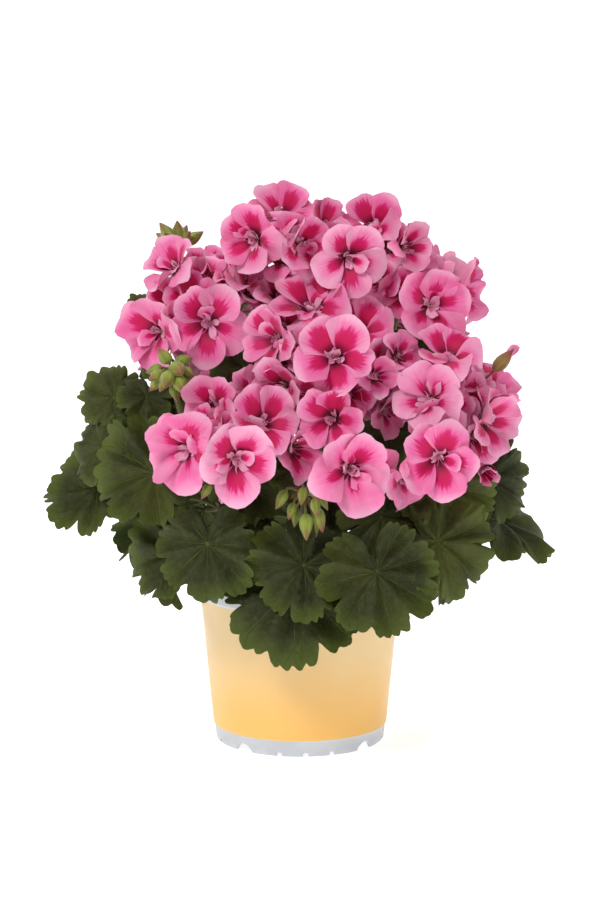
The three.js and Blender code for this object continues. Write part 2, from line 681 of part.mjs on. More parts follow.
// Flower heads. Floret rows: x, y, z, azimuth, elevation, roll, petal length, petaloids, closing.
const heads = [
  {
    name: "flower_head_top",
    hub: [-4, -2, 250],
    lean: [0, 85],
    seed: 100,
    florets: [
      [-24, -26, 289, -24, 6, 18, 20, 2, 0.12],
      [-10, -5, 299, -5, 48, 0, 18.5, 0, 0.1],
      [-1, -42, 287, 26, 6, 15, 18, 0, 0.2],
      [26, -46, 281, 8, -4, 0, 20, 2, 0],
      [12, -15, 294, 38, 38, 0, 14, 0, 0.15],
      [-19, 25, 284, -140, 35, 0, 17, 0, 0],
      [9, 30, 286, 160, 25, 0, 17, 0, 0],
    ],
  },
  {
    name: "flower_head_upper_right",
    hub: [58, 8, 251],
    lean: [80, 70],
    seed: 120,
    florets: [
      [41, -5, 293, -14, 34, 0, 17.5, 0, 0.1],
      [57, -22, 284, 35, 18, 0, 15.5, 0, 0.3],
      [68, 0, 272, 55, 50, 0, 15, 0, 0],
      [88, -8, 259, 72, 10, 0, 17, 0, 0],
      [71, -43, 254, 8, 6, 26, 20, 2, 0],
      [46, -25, 264, -28, 30, 0, 14, 0, 0.25],
      [57, 38, 272, 175, 40, 0, 16, 0, 0],
      [84, 30, 257, 130, 25, 0, 16, 0, 0],
    ],
  },
  {
    name: "flower_head_upper_left",
    hub: [-54, 2, 241],
    lean: [-80, 65],
    seed: 140,
    florets: [
      [-50, -41, 244, -4, 4, 0, 21, 2, 0],
      [-77, -27, 238, -38, 2, 20, 19.5, 0, 0],
      [-68, -10, 270, -48, 44, 0, 17.5, 0, 0.15],
      [-52, 10, 269, 5, 68, 0, 13.5, 0, 0],
      [-34, -15, 265, 42, 38, 10, 16, 0, 0.25],
      [-13, -24, 256, 24, 40, 0, 14.5, 0, 0.25],
    ],
  },
  {
    name: "flower_head_centre",
    hub: [14, -36, 215],
    lean: [10, 55],
    seed: 160,
    florets: [
      [6, -51, 251, -5, 56, 0, 21, 2, 0],
      [32, -48, 239, 18, 50, 0, 17.5, 0, 0.1],
      [19, -86, 230, -4, 22, 10, 20.5, 3, 0],
      [-11, -64, 237, -40, 14, 0, 18, 0, 0.1],
      [-8, -75, 214, -28, 0, 0, 15, 0, 0.2],
      [18, -93, 199, -14, 0, 15, 17, 2, 0.12],
      [39, -76, 219, 22, 20, 0, 13.5, 0, 0.4],
      [52, -62, 228, 38, 24, 0, 12, 0, 0],
      [45, -66, 200, 40, -10, 0, 14.5, 0, 0.2],
    ],
  },
  {
    name: "flower_head_lower_left",
    hub: [-37, -57, 182],
    lean: [-20, 55],
    seed: 180,
    florets: [
      [-34, -110, 180, 4, 0, 0, 20, 2, 0],
      [-59, -90, 182, -32, 0, 10, 21, 2, 0],
      [-20, -90, 195, 16, 28, 0, 18, 0, 0.08],
      [-45, -73, 201.5, -22, 24, 0, 16, 0, 0.12],
      [-26, -63, 204.5, 12, 44, 0, 14.5, 0, 0],
      [-5, -84, 181, 30, -4, 0, 17, 0, 0.5],
    ],
  },
  {
    name: "flower_head_lower_front",
    hub: [29, -58, 174],
    lean: [15, 50],
    seed: 200,
    florets: [
      [26, -108, 174, 10, 6, 0, 22, 2, 0.08],
      [53, -82, 167, 52, -4, 0, 16, 0, 0],
    ],
  },
  {
    name: "flower_head_lower_right",
    hub: [80, -40, 197],
    lean: [60, 50],
    seed: 220,
    florets: [
      [74, -93, 178, 4, -4, 12, 20, 2, 0],
      [71, -79, 206, -20, 26, 0, 19, 0, 0.1],
      [80, -63, 226, 10, 58, 0, 17.5, 0, 0],
      [98, -69, 194, 48, 4, 0, 19, 0, 0.25],
      [105, -40, 205, 48, 62, 0, 16, 0, 0],
      [98, -73, 169, 22, -14, 0, 11, 0, 0.9],
    ],
    buds: [[106, -52, 219, 80, 47, 19]],
  },
];

// Heads at the back are round: florets spread evenly over a dome round the hub.
const roundHeads = [
  { name: "flower_head_back_left", hub: [-46, 48, 220], lean: [-140, 65], count: 6, reach: 33, seed: 240 },
  { name: "flower_head_back_right", hub: [50, 50, 218], lean: [140, 65], count: 6, reach: 33, seed: 260 },
  { name: "flower_head_back_low", hub: [2, 77, 174], lean: [174, 48], count: 5, reach: 32, seed: 281 },
];

for (const head of roundHeads) {
  const axes = facingAxes(head.lean[0], head.lean[1] - 15, 0);
  head.florets = [];
  for (let k = 0; k < head.count; k++) {
    const turn = k * goldenTurn;
    const open = 80 * Math.sqrt((k + 0.1) / (head.count - 0.5)) * degrees;
    const out = axes.n.clone().multiplyScalar(Math.cos(open));
    out.addScaledVector(axes.u, Math.sin(open) * Math.cos(turn));
    out.addScaledVector(axes.v, Math.sin(open) * Math.sin(turn));
    const at = vec(...head.hub).addScaledVector(out, head.reach);
    const azimuth = Math.atan2(out.x, -out.y) / degrees;
    const elevation = Math.asin(out.z) / degrees;
    const length = 17 + 2.5 * draw(head.seed, k);
    head.florets.push([at.x, at.y, at.z, azimuth, elevation, 36 * k, length, 0, 0]);
  }
  heads.push(head);
}

// Bud clusters: main is the way the cluster faces, spread how far it opens, droop how much the buds hang.
const clusters = [
  {
    name: "bud_cluster_top_left",
    hub: [-69, 17, 281],
    lean: [-80, 85],
    main: [0, 88],
    count: 8,
    spread: 66,
    reach: 4,
    length: 12,
    droop: 0,
    seed: 300,
  },
  {
    name: "bud_cluster_left",
    hub: [-70, -60, 219],
    lean: [-10, 55],
    main: [-8, 25],
    count: 12,
    spread: 100,
    reach: 6,
    length: 11.5,
    droop: 0.75,
    seed: 320,
  },
  {
    name: "bud_cluster_front",
    hub: [2.4, -90.2, 158.2],
    lean: [0, 45],
    main: [4, -30],
    count: 10,
    spread: 80,
    reach: 12,
    length: 12.5,
    droop: 1.6,
    seed: 340,
  },
  {
    name: "bud_cluster_lower_left",
    hub: [-41, -84, 167],
    lean: [-10, 40],
    main: [-10, -35],
    count: 5,
    spread: 62,
    reach: 9,
    length: 9,
    droop: 0.8,
    seed: 360,
  },
];

// Round solid from a profile of radius and height pairs, from axis to axis.
function turned(profile, sides) {
  const points = profile.map(([r, z]) => new THREE.Vector2(r, z));
  const geometry = new THREE.LatheGeometry(points, sides);
  geometry.rotateX(Math.PI / 2);
  const solid = geometryToSolid(geometry);
  return solid.volume() < 0 ? geometryToSolid(flipped(geometry)) : solid;
}

function flipped(geometry) {
  const turnedOver = geometry.clone();
  const index = turnedOver.index.array;
  for (let i = 0; i < index.length; i += 3) {
    [index[i + 1], index[i + 2]] = [index[i + 2], index[i + 1]];
  }
  return turnedOver;
}

// Pot: thin tapered wall with a stepped rim, a floor with drain holes, and a foot ring with arches and slots.
// The foot is turned a little, so its first arch isn't straight ahead.
function makePot() {
  const footInner = footRadius - 1.8;
  const rimZ = potHeight - 8;
  const profile = [
    [0, floorZ],
    [footInner, floorZ],
    [footInner, 0],
    [footRadius, 0],
    [footRadius + 0.8, labelBottomZ - 1],
    [labelBottomRadius, labelBottomZ],
    [labelTopRadius, rimZ - 1.5],
    [rimRadius - 0.8, rimZ],
    [rimRadius, potHeight],
    [rimRadius - wall - 0.3, potHeight],
    [labelTopRadius - wall, rimZ - 1.5],
    [labelBottomRadius - wall, floorZ + wall],
    [0, floorZ + wall],
  ];
  let pot = turned(profile, potSides);
  for (let quarter = 0; quarter < 4; quarter++) {
    const archAt = footTurn + 45 + quarter * 90;
    const out = direction(archAt, 0);
    const arch = new THREE.CylinderGeometry(archRadius, archRadius, 12, 12);
    arch.rotateX(Math.PI / 2);
    arch.lookAt(out);
    arch.translate(out.x * footRadius, out.y * footRadius, -1.4);
    pot = pot.subtract(geometryToSolid(arch));
    const drain = new THREE.CylinderGeometry(drainRadius, drainRadius, 6, 8);
    drain.rotateX(Math.PI / 2);
    drain.translate(out.x * drainCircle, out.y * drainCircle, floorZ + wall / 2);
    pot = pot.subtract(geometryToSolid(drain));
    for (const side of [-18, 0, 18]) {
      const way = direction(footTurn + quarter * 90 + side, 0);
      const slot = new THREE.BoxGeometry(2.6, 4.4, 8);
      slot.lookAt(way);
      slot.translate(way.x * footRadius, way.y * footRadius, 0);
      pot = pot.subtract(geometryToSolid(slot));
    }
  }
  return pot;
}

// Soil: fills the pot, with a rough mounded top and a plain hole for each stem.
function makeSoil() {
  const bottom = floorZ + wall + clearance;
  const innerAt = (z) => {
    const low = floorZ + wall;
    const high = potHeight - 9.5;
    const share = (z - low) / (high - low);
    return labelBottomRadius + (labelTopRadius - labelBottomRadius) * share - wall - clearance - 0.3;
  };
  const profile = [
    [0, bottom],
    [innerAt(bottom), bottom],
    [innerAt(soilTopZ - 2), soilTopZ - 2],
    [innerAt(soilTopZ) - 5, soilTopZ - 0.5],
    [34, soilTopZ + 0.8],
    [14, soilTopZ + 1.5],
    [0, soilTopZ + 2],
  ];
  const points = profile.map(([r, z]) => new THREE.Vector2(r, z));
  const lathe = new THREE.LatheGeometry(points, 20);
  lathe.rotateX(Math.PI / 2);
  const merged = new THREE.BufferGeometry();
  merged.setAttribute("position", lathe.getAttribute("position"));
  merged.setIndex(lathe.index);
  const body = mergeVertices(merged, sameVertex);
  const place = body.getAttribute("position");
  for (let i = 0; i < place.count; i++) {
    if (place.getZ(i) > soilTopZ - 1) {
      place.setZ(i, place.getZ(i) + 1.6 * (draw(7, i) - 0.5));
    }
  }
  let soil = geometryToSolid(body);
  if (soil.volume() < 0) {
    soil = geometryToSolid(flipped(body));
  }
  for (const shoot of shoots) {
    const hole = new THREE.CylinderGeometry(stemHoleRadius, stemHoleRadius, 40, 8);
    hole.rotateX(Math.PI / 2);
    hole.translate(shoot.foot[0], shoot.foot[1], soilTopZ - holeDepth + 20);
    soil = soil.subtract(geometryToSolid(hole));
  }
  return soil;
}

const plant = new THREE.Group();
plant.name = "potted_geranium";

function place(name, solid, colour) {
  const material = new THREE.MeshStandardMaterial({ color: colour, roughness: 0.7, flatShading: true });
  const mesh = new THREE.Mesh(solidToGeometry(solid), material);
  mesh.name = name;
  plant.add(mesh);
}

place("pot", makePot(), white);
place("soil", makeSoil(), earth);
shoots.forEach((shoot) => place(shoot.name, leafyStem(shoot), green));
heads.forEach((head) => place(head.name, flowerHead(head), pink));
clusters.forEach((cluster) => place(cluster.name, budCluster(cluster), budGreen));

export default plant;
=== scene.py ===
"""Looks of the potted geranium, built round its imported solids. Tables are in millimetres, front is -Y."""

import math
from functools import partial

import bpy
import numpy as np
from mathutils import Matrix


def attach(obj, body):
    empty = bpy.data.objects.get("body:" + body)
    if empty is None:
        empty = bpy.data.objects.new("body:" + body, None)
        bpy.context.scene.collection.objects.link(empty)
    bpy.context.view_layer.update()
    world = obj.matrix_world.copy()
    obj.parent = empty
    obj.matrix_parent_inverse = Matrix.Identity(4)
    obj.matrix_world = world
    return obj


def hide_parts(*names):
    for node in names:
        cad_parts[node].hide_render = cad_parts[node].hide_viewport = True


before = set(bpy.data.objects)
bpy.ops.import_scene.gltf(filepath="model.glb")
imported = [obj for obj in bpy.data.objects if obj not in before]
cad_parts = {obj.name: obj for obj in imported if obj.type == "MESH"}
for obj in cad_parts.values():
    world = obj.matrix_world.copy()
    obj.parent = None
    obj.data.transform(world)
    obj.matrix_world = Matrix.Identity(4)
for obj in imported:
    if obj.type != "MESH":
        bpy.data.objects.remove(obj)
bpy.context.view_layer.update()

MM = 0.001
ONE_TURN = 6.2832

# Driving sizes, as in the part's source
POT_HEIGHT = 93
RIM_RADIUS = 60
LABEL_TOP_RADIUS = 57.2
LABEL_BOTTOM_RADIUS = 50
LABEL_BOTTOM_Z = 9.5
FOOT_RADIUS = 48.4
WALL = 1.3
FLOOR_Z = 6
SOIL_TOP_Z = 83
CLEARANCE = 0.3
FOOT_TURN = 4
STEM_RADIUS = 3.6
HOLE_DEPTH = 14
HUB_RADIUS = 3.6
DRAIN_AT = 36
DRAIN_RADIUS = 3.5
CLAW_RADIUS = 2
PETAL_TWIST = 9
LARGE_LEAF = 26
NOTCH_DEPTH = 0.19
GOLDEN_TURN = 137.5
STALK_RED = 0.35
SHIFT_RANGE = 6.3

# How thick the fine blades are in their middle
LEAF_THICKNESS = 0.6
PETAL_THICKNESS = 0.45


def draw(row, key):
    """Repeatable draw between 0 and 1 for a row number and a key."""
    s = math.sin(row * 12.9898 + key * 78.233) * 43758.5453
    return s - math.floor(s)


def wave_shift(row, key):
    """Repeatable shift of a wave, in radians."""
    return SHIFT_RANGE * draw(row, key)


def vec(*values):
    return np.array(values, float)


def unit(v):
    return v / np.linalg.norm(v)


def direction(azimuth, elevation):
    """Unit vector for an azimuth (0 is the front, 90 the right) and an elevation in degrees."""
    a, e = math.radians(azimuth), math.radians(elevation)
    return vec(math.sin(a) * math.cos(e), -math.cos(a) * math.cos(e), math.sin(e))


def facing_axes(azimuth, elevation, roll=0):
    """Axes of a blade or floret: n faces out, u points downhill turned by roll, v is across."""
    a, e, r = (math.radians(x) for x in (azimuth, elevation, roll))
    n = direction(azimuth, elevation)
    down = vec(math.sin(a) * math.sin(e), -math.cos(a) * math.sin(e), -math.cos(e))
    u = down * math.cos(r) + np.cross(n, down) * math.sin(r)
    return n, u, np.cross(n, u)


def bearing(way):
    """Azimuth and elevation of a direction, in degrees."""
    return math.degrees(math.atan2(way[0], -way[1])), math.degrees(math.asin(way[2]))


def spoke(axes, turn):
    """Directions out along a turn round the facing axis, and across it."""
    n, u, v = axes
    radial = u * math.cos(turn) + v * math.sin(turn)
    return radial, np.cross(n, radial)


def dome(axes, k, open_by):
    """Direction of one of many stalks: opened out by an angle, and a golden turn on from the one before."""
    radial = spoke(axes, math.radians(k * GOLDEN_TURN))[0]
    return axes[0] * math.cos(open_by) + radial * math.sin(open_by)


def laid(points, *parts):
    """Points moved along directions, each part being a direction and how far every point moves."""
    for way, far in parts:
        points = points + way * far[..., None]
    return points


def bezier(a, b, c, d, count):
    t = np.linspace(0, 1, count + 1)[:, None]
    return a * (1 - t) ** 3 + 3 * b * t * (1 - t) ** 2 + 3 * c * t**2 * (1 - t) + d * t**3


def curve(start, leave, end, arrive, count):
    """Cubic curve that leaves along one direction and arrives along another."""
    reach = np.linalg.norm(end - start) * 0.38
    return bezier(start, start + leave * reach, end - arrive * reach, end, count)


def show(name, data):
    """New object in the scene."""
    made = bpy.data.objects.new(name, data)
    bpy.context.scene.collection.objects.link(made)
    return made


class Shape:
    """Points, faces and point values of one piece, gathered in millimetres."""

    def __init__(self):
        self.points = []
        self.uvs = []
        self.values = {"tint": [], "side": [], "mark": []}
        self.quads = []
        self.triangles = []
        self.count = 0

    def add(self, points, uvs, quads, triangles=(), tint=0.5, side=0.0, mark=0.0):
        count = len(points)
        self.points.append(points)
        self.uvs.append(uvs)
        for key, value in (("tint", tint), ("side", side), ("mark", mark)):
            self.values[key].append(np.broadcast_to(value, count))
        self.quads.append(np.reshape(quads, (-1, 4)).astype(int) + self.count)
        self.triangles.append(np.reshape(triangles, (-1, 3)).astype(int) + self.count)
        self.count += count

    def piece(self, name, material, slot, node, sharp=62):
        """Mesh object of the gathered shape, in place of a node of the solids."""
        quads = np.concatenate(self.quads)
        triangles = np.concatenate(self.triangles)
        corners = np.concatenate([quads.ravel(), triangles.ravel()]).astype(np.int32)
        starts = np.concatenate([np.arange(len(quads)) * 4, len(quads) * 4 + np.arange(len(triangles)) * 3])
        mesh = bpy.data.meshes.new(name)
        mesh.vertices.add(self.count)
        mesh.vertices.foreach_set("co", (np.concatenate(self.points) * MM).astype(np.float32).ravel())
        mesh.loops.add(len(corners))
        mesh.loops.foreach_set("vertex_index", corners)
        mesh.polygons.add(len(starts))
        mesh.polygons.foreach_set("loop_start", starts.astype(np.int32))
        mesh.update(calc_edges=True)
        mesh.validate()
        uv = mesh.uv_layers.new(name="UVMap")
        loops = np.zeros(len(mesh.loops), np.int32)
        mesh.loops.foreach_get("vertex_index", loops)
        uv.data.foreach_set("uv", np.concatenate(self.uvs)[loops].astype(np.float32).ravel())
        for key, values in self.values.items():
            layer = mesh.attributes.new(key, "FLOAT", "POINT")
            layer.data.foreach_set("value", np.concatenate(values).astype(np.float32))
        mesh.shade_smooth()
        mesh.set_sharp_from_angle(angle=math.radians(sharp))
        mesh.materials.append(material)
        made = show(name, mesh)
        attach(made, "root")
        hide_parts(node)


def grid_quads(rows, columns, wrap=False):
    i = np.arange(rows - 1)[:, None]
    j = np.arange(columns if wrap else columns - 1)[None, :]
    after = (j + 1) % columns
    low, high = i * columns, (i + 1) * columns
    return np.stack([low + j, high + j, high + after, low + after], -1)


def strip_uvs(s, t):
    return np.stack([s * 0.5 + 0.5, t], -1)


def end_caps(rows, sides):
    """Triangles that close both ends of rings, to the two points behind the last ring."""
    k = np.arange(sides)
    after = (k + 1) % sides
    top = (rows - 1) * sides
    low = np.stack([np.full(sides, rows * sides), after, k], 1)
    return np.concatenate([low, np.stack([np.full(sides, rows * sides + 1), k + top, after + top], 1)])


def ring_uvs(turn, along):
    return np.stack(np.broadcast_arrays(turn[None, :] / ONE_TURN, along[:, None]), -1).reshape(-1, 2)


def blade(shape, middle, uvs, thickness, tint, mark=0.0):
    """Thin closed blade from a grid of middle points. Both faces share the points of its border."""
    rows, columns = middle.shape[:2]
    normal = np.cross(np.gradient(middle, axis=0), np.gradient(middle, axis=1))
    normal /= np.linalg.norm(normal, axis=2, keepdims=True) + 1e-9
    inside = np.zeros((rows, columns), bool)
    inside[1:-1, 1:-1] = True
    half = np.where(inside, thickness / 2, 0)[..., None]
    front = (middle + normal * half).reshape(-1, 3)
    back = (middle - normal * half)[inside]
    back_index = np.arange(rows * columns)
    back_index[inside.ravel()] = rows * columns + np.arange(len(back))
    quads = grid_quads(rows, columns).reshape(-1, 4)
    behind = back_index[quads][:, ::-1]
    flat = uvs.reshape(-1, 2)
    side = np.concatenate([np.zeros(len(front)), np.ones(len(back))])
    shape.add(
        np.concatenate([front, back]),
        np.concatenate([flat, flat[inside.ravel()]]),
        np.concatenate([quads, behind]),
        tint=tint,
        side=side,
        mark=mark,
    )


def tube(shape, points, radii, sides=9, tint=0.5):
    """Round stalk along a row of points, with rounded ends."""
    points = np.asarray(points, float)
    radii = np.broadcast_to(radii, len(points)).astype(float)
    first, last = unit(points[0] - points[1]), unit(points[-1] - points[-2])
    points = np.vstack([points[0] + first * radii[0] * 0.5, points, points[-1] + last * radii[-1] * 0.5])
    radii = np.concatenate([[radii[0] * 0.6], radii, [radii[-1] * 0.6]])
    along = np.gradient(points, axis=0)
    along /= np.linalg.norm(along, axis=1, keepdims=True)
    across = np.cross(along[0], (0, 0, 1) if abs(along[0][2]) < 0.9 else (1, 0, 0))
    turn = np.arange(sides) / sides * 2 * math.pi
    rings = []
    for p, d, r in zip(points, along, radii):
        across = unit(across - d * across.dot(d))
        other = np.cross(d, across)
        rings.append(p + r * (np.cos(turn)[:, None] * across + np.sin(turn)[:, None] * other))
    count = len(points)
    ends = [points[0] + first * radii[0] * 0.3, points[-1] + last * radii[-1] * 0.3]
    length = np.concatenate([[0], np.cumsum(np.linalg.norm(np.diff(points, axis=0), axis=1))])
    uvs = np.vstack([ring_uvs(turn, length / 10), [[0, 0], [0, length[-1] / 10]]])
    quads = grid_quads(count, sides, wrap=True)[..., ::-1]
    shape.add(np.vstack([*rings, *ends]), uvs, quads, end_caps(count, sides), tint=tint)


# Petals and florets

# Petal length from which a floret is large and gets the finest petals
LARGE_FLORET = 15.8

# Half the angle that a petal fans out by, and how much nearer its sides end than its tip
PETAL_FAN = math.radians(44)
PETAL_ROUNDING = 0.3
PETAL_SHARE = [1.08, 0.98, 1.08, 0.98, 1.08]


def petal_line(t, start, end):
    """Out and up position along a petal that rises steeply at its claw and spreads towards its tip."""
    steps = 12
    s = (np.arange(steps) + 0.5).reshape(-1, *[1] * t.ndim) / steps * t
    angle = np.radians(start + (end - start) * np.minimum(1, s * 1.6))
    return (np.cos(angle) * t / steps).sum(0), (np.sin(angle) * t / steps).sum(0)


def petal(shape, centre, axes, turn, length, start, end, key, look, fan, rows, columns):
    """One broad petal: a round fan on a narrow claw, cupped and wavy, on the same line as the solid's."""
    radial, lateral = spoke(axes, turn)
    even = np.linspace(-1, 1, columns)
    s, t = np.meshgrid(0.6 * even + 0.4 * np.sin(even * math.pi / 2), np.linspace(0.05, 1, rows) ** 0.85)
    first, second = wave_shift(key, 1), wave_shift(key, 2)
    tip = (0.1 * draw(key, 3) - 0.02) * np.exp(-((s / 0.2) ** 2))
    rounding = PETAL_ROUNDING * (0.75 + 0.6 * draw(key, 8))
    rim = 1 - rounding * np.abs(s) ** 2.4 - tip + 0.045 * np.sin(5 * s + first) * np.cos(2 * s + second)
    angle = fan * s * (0.62 + 0.38 * np.minimum(1, t / 0.4)) + 0.16 * (draw(key, 9) - 0.5) * t
    along, across = t * rim * np.cos(angle), t * rim * np.sin(angle)
    out, up = petal_line(along, start, end)
    ahead_out, ahead_up = petal_line(along + 0.05, start, end)
    slope = np.arctan2(ahead_up - up, ahead_out - out)
    cup = 0.15 + 0.9 * draw(key, 6)
    curl = (1.7 * draw(key, 4) - 0.35) * np.maximum(0, along - 0.55) ** 2
    tilt = math.sin(math.radians(PETAL_TWIST + 18 * (draw(key, 10) - 0.4)))
    lift = tilt * across + cup * across**2 - curl
    lift = lift + t**2 * (0.07 * np.sin(3.2 * s + first) + 0.09 * s**2 * np.sin(5 * t + second))
    ruffle = 0.042 * np.sin(9 * s + 3 * t + first) * t**3 + 0.008 * np.cos(21 * s) * (1 - s**2) * t
    raise_by = (lift + ruffle) * length
    middle = laid(
        centre,
        (radial, CLAW_RADIUS + out * length - 0.5 * raise_by * np.sin(slope)),
        (lateral, across * length),
        (axes[0], up * length + raise_by * (0.5 + 0.5 * np.cos(slope))),
    )
    blade(shape, middle, strip_uvs(s, along), PETAL_THICKNESS, *look)


def petaloid(shape, centre, axes, turn, length, start, end, key, look):
    """Small strap-shaped petal of the middle, curled and turned along its length."""
    radial, lateral = spoke(axes, turn)
    s, t = np.meshgrid(np.linspace(-1, 1, 5), np.linspace(0.04, 1, 8))
    wide = 0.17 + 0.16 * draw(key, 11)
    half = wide * np.sin(math.pi * np.clip(0.05 + 0.83 * t**1.3, 0, 1)) ** 0.75
    out, up = petal_line(t * (1 - 0.12 * s**2), start, end)
    curl = 0.9 * draw(key, 7) * np.maximum(0, t - 0.4) ** 2
    lift = 2.4 * (half * s) ** 2 + 0.05 * np.sin(5 * s + 6 * draw(key, 5)) * t
    turned = (2.2 * draw(key, 12) - 1.1) * t
    sideways = half * s * np.cos(turned) + 0.25 * (draw(key, 13) - 0.5) * t**2
    middle = laid(
        centre,
        (radial, 0.7 + (out - curl) * length),
        (lateral, sideways * length),
        (axes[0], (up + lift + half * s * np.sin(turned)) * length - 0.5),
    )
    blade(shape, middle, strip_uvs(s, t * 0.9), 0.4, *look)


def throat(shape, centre, axes, start, look):
    """Small funnel that the petals' claws grow from."""
    n, u, v = axes
    turn, t = np.meshgrid(np.linspace(0, 2 * math.pi, 16), np.linspace(0, 1, 4))
    slope = math.radians(start)
    out = 0.3 + (CLAW_RADIUS + 3.2) * t
    up = np.maximum(0, out - CLAW_RADIUS) * math.tan(slope) - 0.6
    middle = laid(centre, (u, out * np.cos(turn)), (v, out * np.sin(turn)), (n, up))
    blade(shape, middle, np.stack([0.5 + 0 * turn, 0.1 + 0.15 * t], -1), 0.4, *look)


def sepals(shape, back, axes, length, tint):
    """Five narrow pointed sepals round the back of a floret."""
    s, t = np.meshgrid(np.linspace(-1, 1, 3), np.linspace(0, 1, 6))
    half = 1.15 * (1 - t) ** 0.6 * (0.55 + 1.2 * t)
    for k in range(5):
        radial, lateral = spoke(axes, (k + 0.1) / 5 * 2 * math.pi)
        up = t * length - 0.3 * np.abs(s)
        middle = laid(back, (radial, 0.7 + 3.6 * t**1.5), (lateral, half * s), (axes[0], up))
        blade(shape, middle, strip_uvs(s, t), 0.4, tint)


def stamens(shape, centre, axes, key):
    """Thin stamens in the throat, each with a small anther."""
    for k in range(6):
        turn = 2 * math.pi * (k + draw(key, k + 60)) / 6
        lean = 0.15 + 0.4 * draw(key, k + 70)
        way = unit(axes[0] + spoke(axes, turn)[0] * lean)
        tip = centre + way * (3.8 + 2.4 * draw(key, k + 80))
        tube(shape, [centre, centre + way * 2, tip, tip + way * 0.7], [0.2, 0.2, 0.2, 0.45], 5, 0.99)


def floret(petals, stalks, row, hub, number, dark):
    """Floret on its thin stalk: broad outer petals, one or two inner ones and small curled ones."""
    x, y, z, azimuth, elevation, roll, length, small, closing = row
    rows, columns = (12, 13) if length >= LARGE_FLORET else (9, 9)
    some = partial(draw, number)
    centre = vec(x, y, z)
    axes = facing_axes(azimuth, elevation, roll + 180)
    n = axes[0]
    fan = PETAL_FAN * (1 - 0.65 * closing)
    hue = 0.15 + 0.55 * some(90)
    mark = 0.52 + 0.22 * some(91)
    open_wide = 14 * some(97)
    for k in range(5):
        turn = (k + 0.5 + 0.2 * (some(k) - 0.5)) / 5 * 2 * math.pi
        size = length * (1.04 + 0.16 * some(k + 10)) * PETAL_SHARE[k]
        upper = k in (0, 4)
        start = 42 + closing * 30 + 8 * some(k + 20) + (8 if upper else 0)
        end = closing * 60 - 6 + open_wide + 26 * some(k + 30) + (18 if upper else 0)
        deep = mark + 0.2 * (some(k + 105) - 0.6) + (0.06 if upper else -0.04)
        look = (hue + 0.4 * (some(k + 100) - 0.5), deep)
        petal(petals, centre, axes, turn, size, start, end, number * 7 + k, look, fan, rows, columns)
    throat(petals, centre, axes, 42 + closing * 30, (hue, 0.75))
    inner = int(3 * some(92)) if length > 15 and closing < 0.3 else 0
    for k in range(inner):
        turn = (k + 0.3 * some(k + 110)) / inner * 2 * math.pi + wave_shift(number, 98)
        size = length * (0.58 + 0.22 * some(k + 120))
        start, end = 62 + 12 * some(k + 130), 20 + 36 * some(k + 140)
        look = (hue + 0.4 * (some(k + 145) - 0.4), mark)
        key = number * 11 + k
        petal(petals, centre + n * 0.3, axes, turn, size, start, end, key, look, fan * 0.8, 9, 9)
    count = 2 + int(4 * some(93)) + small if closing < 0.5 else 1
    lean = wave_shift(number, 94)
    for k in range(count):
        turn = lean + (k / count + 0.16 * some(k + 40)) * 5.2
        size = length * (0.24 + 0.3 * some(k + 50) ** 1.5 + (0.08 if small else 0))
        look = (0.8 + 0.12 * some(k + 150), 0.1)
        rise = 40 * some(k + 160)
        petaloid(petals, centre, axes, turn, size, 50 + rise, 14 + 1.4 * rise, number + 3 * k, look)
    stamens(petals, centre, axes, number)
    back = centre - n * 4.5
    leave = unit(unit(back - hub) + vec(0, 0, 0.35))
    path = curve(hub + leave * HUB_RADIUS * 0.6, leave, back, n, 10)
    radii = np.interp(np.linspace(0, 1, 11), [0, 0.12, 0.8, 1], [1.0, 0.68, 0.72, 1.25])
    tube(stalks, np.vstack([path, centre - n * 1.2]), np.append(radii, 2.0), 8, dark)
    sepals(stalks, back, axes, 5.2 if closing < 0.5 else 8.0, dark * 0.7)


def between(a, b, hub, number, depth):
    """Row of a smaller half-open floret between and below two others."""
    middle = (vec(*a[:3]) + vec(*b[:3])) / 2
    out = unit(unit(middle - hub) + 0.7 * direction(*a[3:5]) + 0.7 * direction(*b[3:5]))
    length = 12.5 + 3 * draw(number, 95)
    return [*(hub + (middle - hub) * depth), *bearing(out), 72 * draw(number, 96), length, 0, 0.12]


def flower_head(name, hub, lean, dark, seed, rows, fill=(), buds=()):
    """Umbel: hub, florets, half-open florets between them, and closed buds."""
    node = "flower_head_" + name
    petals, stalks = Shape(), Shape()
    hub = vec(*hub)
    along = direction(*lean)
    points = [hub + along * d for d in (-3.6, -2.2, 0, 2.2, 3.4)]
    tube(stalks, points, [1.9, 3.0, 3.6, 3.0, 1.6], 12, dark)
    bracts(stalks, hub - along * 2.6, along, dark)
    for i, row in enumerate(rows):
        floret(petals, stalks, row, hub, seed + i, dark)
    for i, row in enumerate(fill):
        floret(petals, stalks, row, hub, seed + 1200 + i, dark)
    for skip, depth in ((1, 0.82), (2, 0.74)):
        for i, (row, after) in enumerate(zip(rows, rows[skip:])):
            number = seed + 400 * skip + i
            floret(petals, stalks, between(row, after, hub, number, depth), hub, number, dark)
    for x, y, z, azimuth, elevation, length in buds:
        closed = Shape()
        bud(closed, petals, vec(x, y, z), direction(azimuth, elevation), length, hub, seed, True, 0.2)
        closed.piece(node + "_bud", bud_material, "petals", node)
    petals.piece(node + "_petals", petal_material, "petals", node)
    stalks.piece(node + "_stalks", stalk_material, "petals", node)


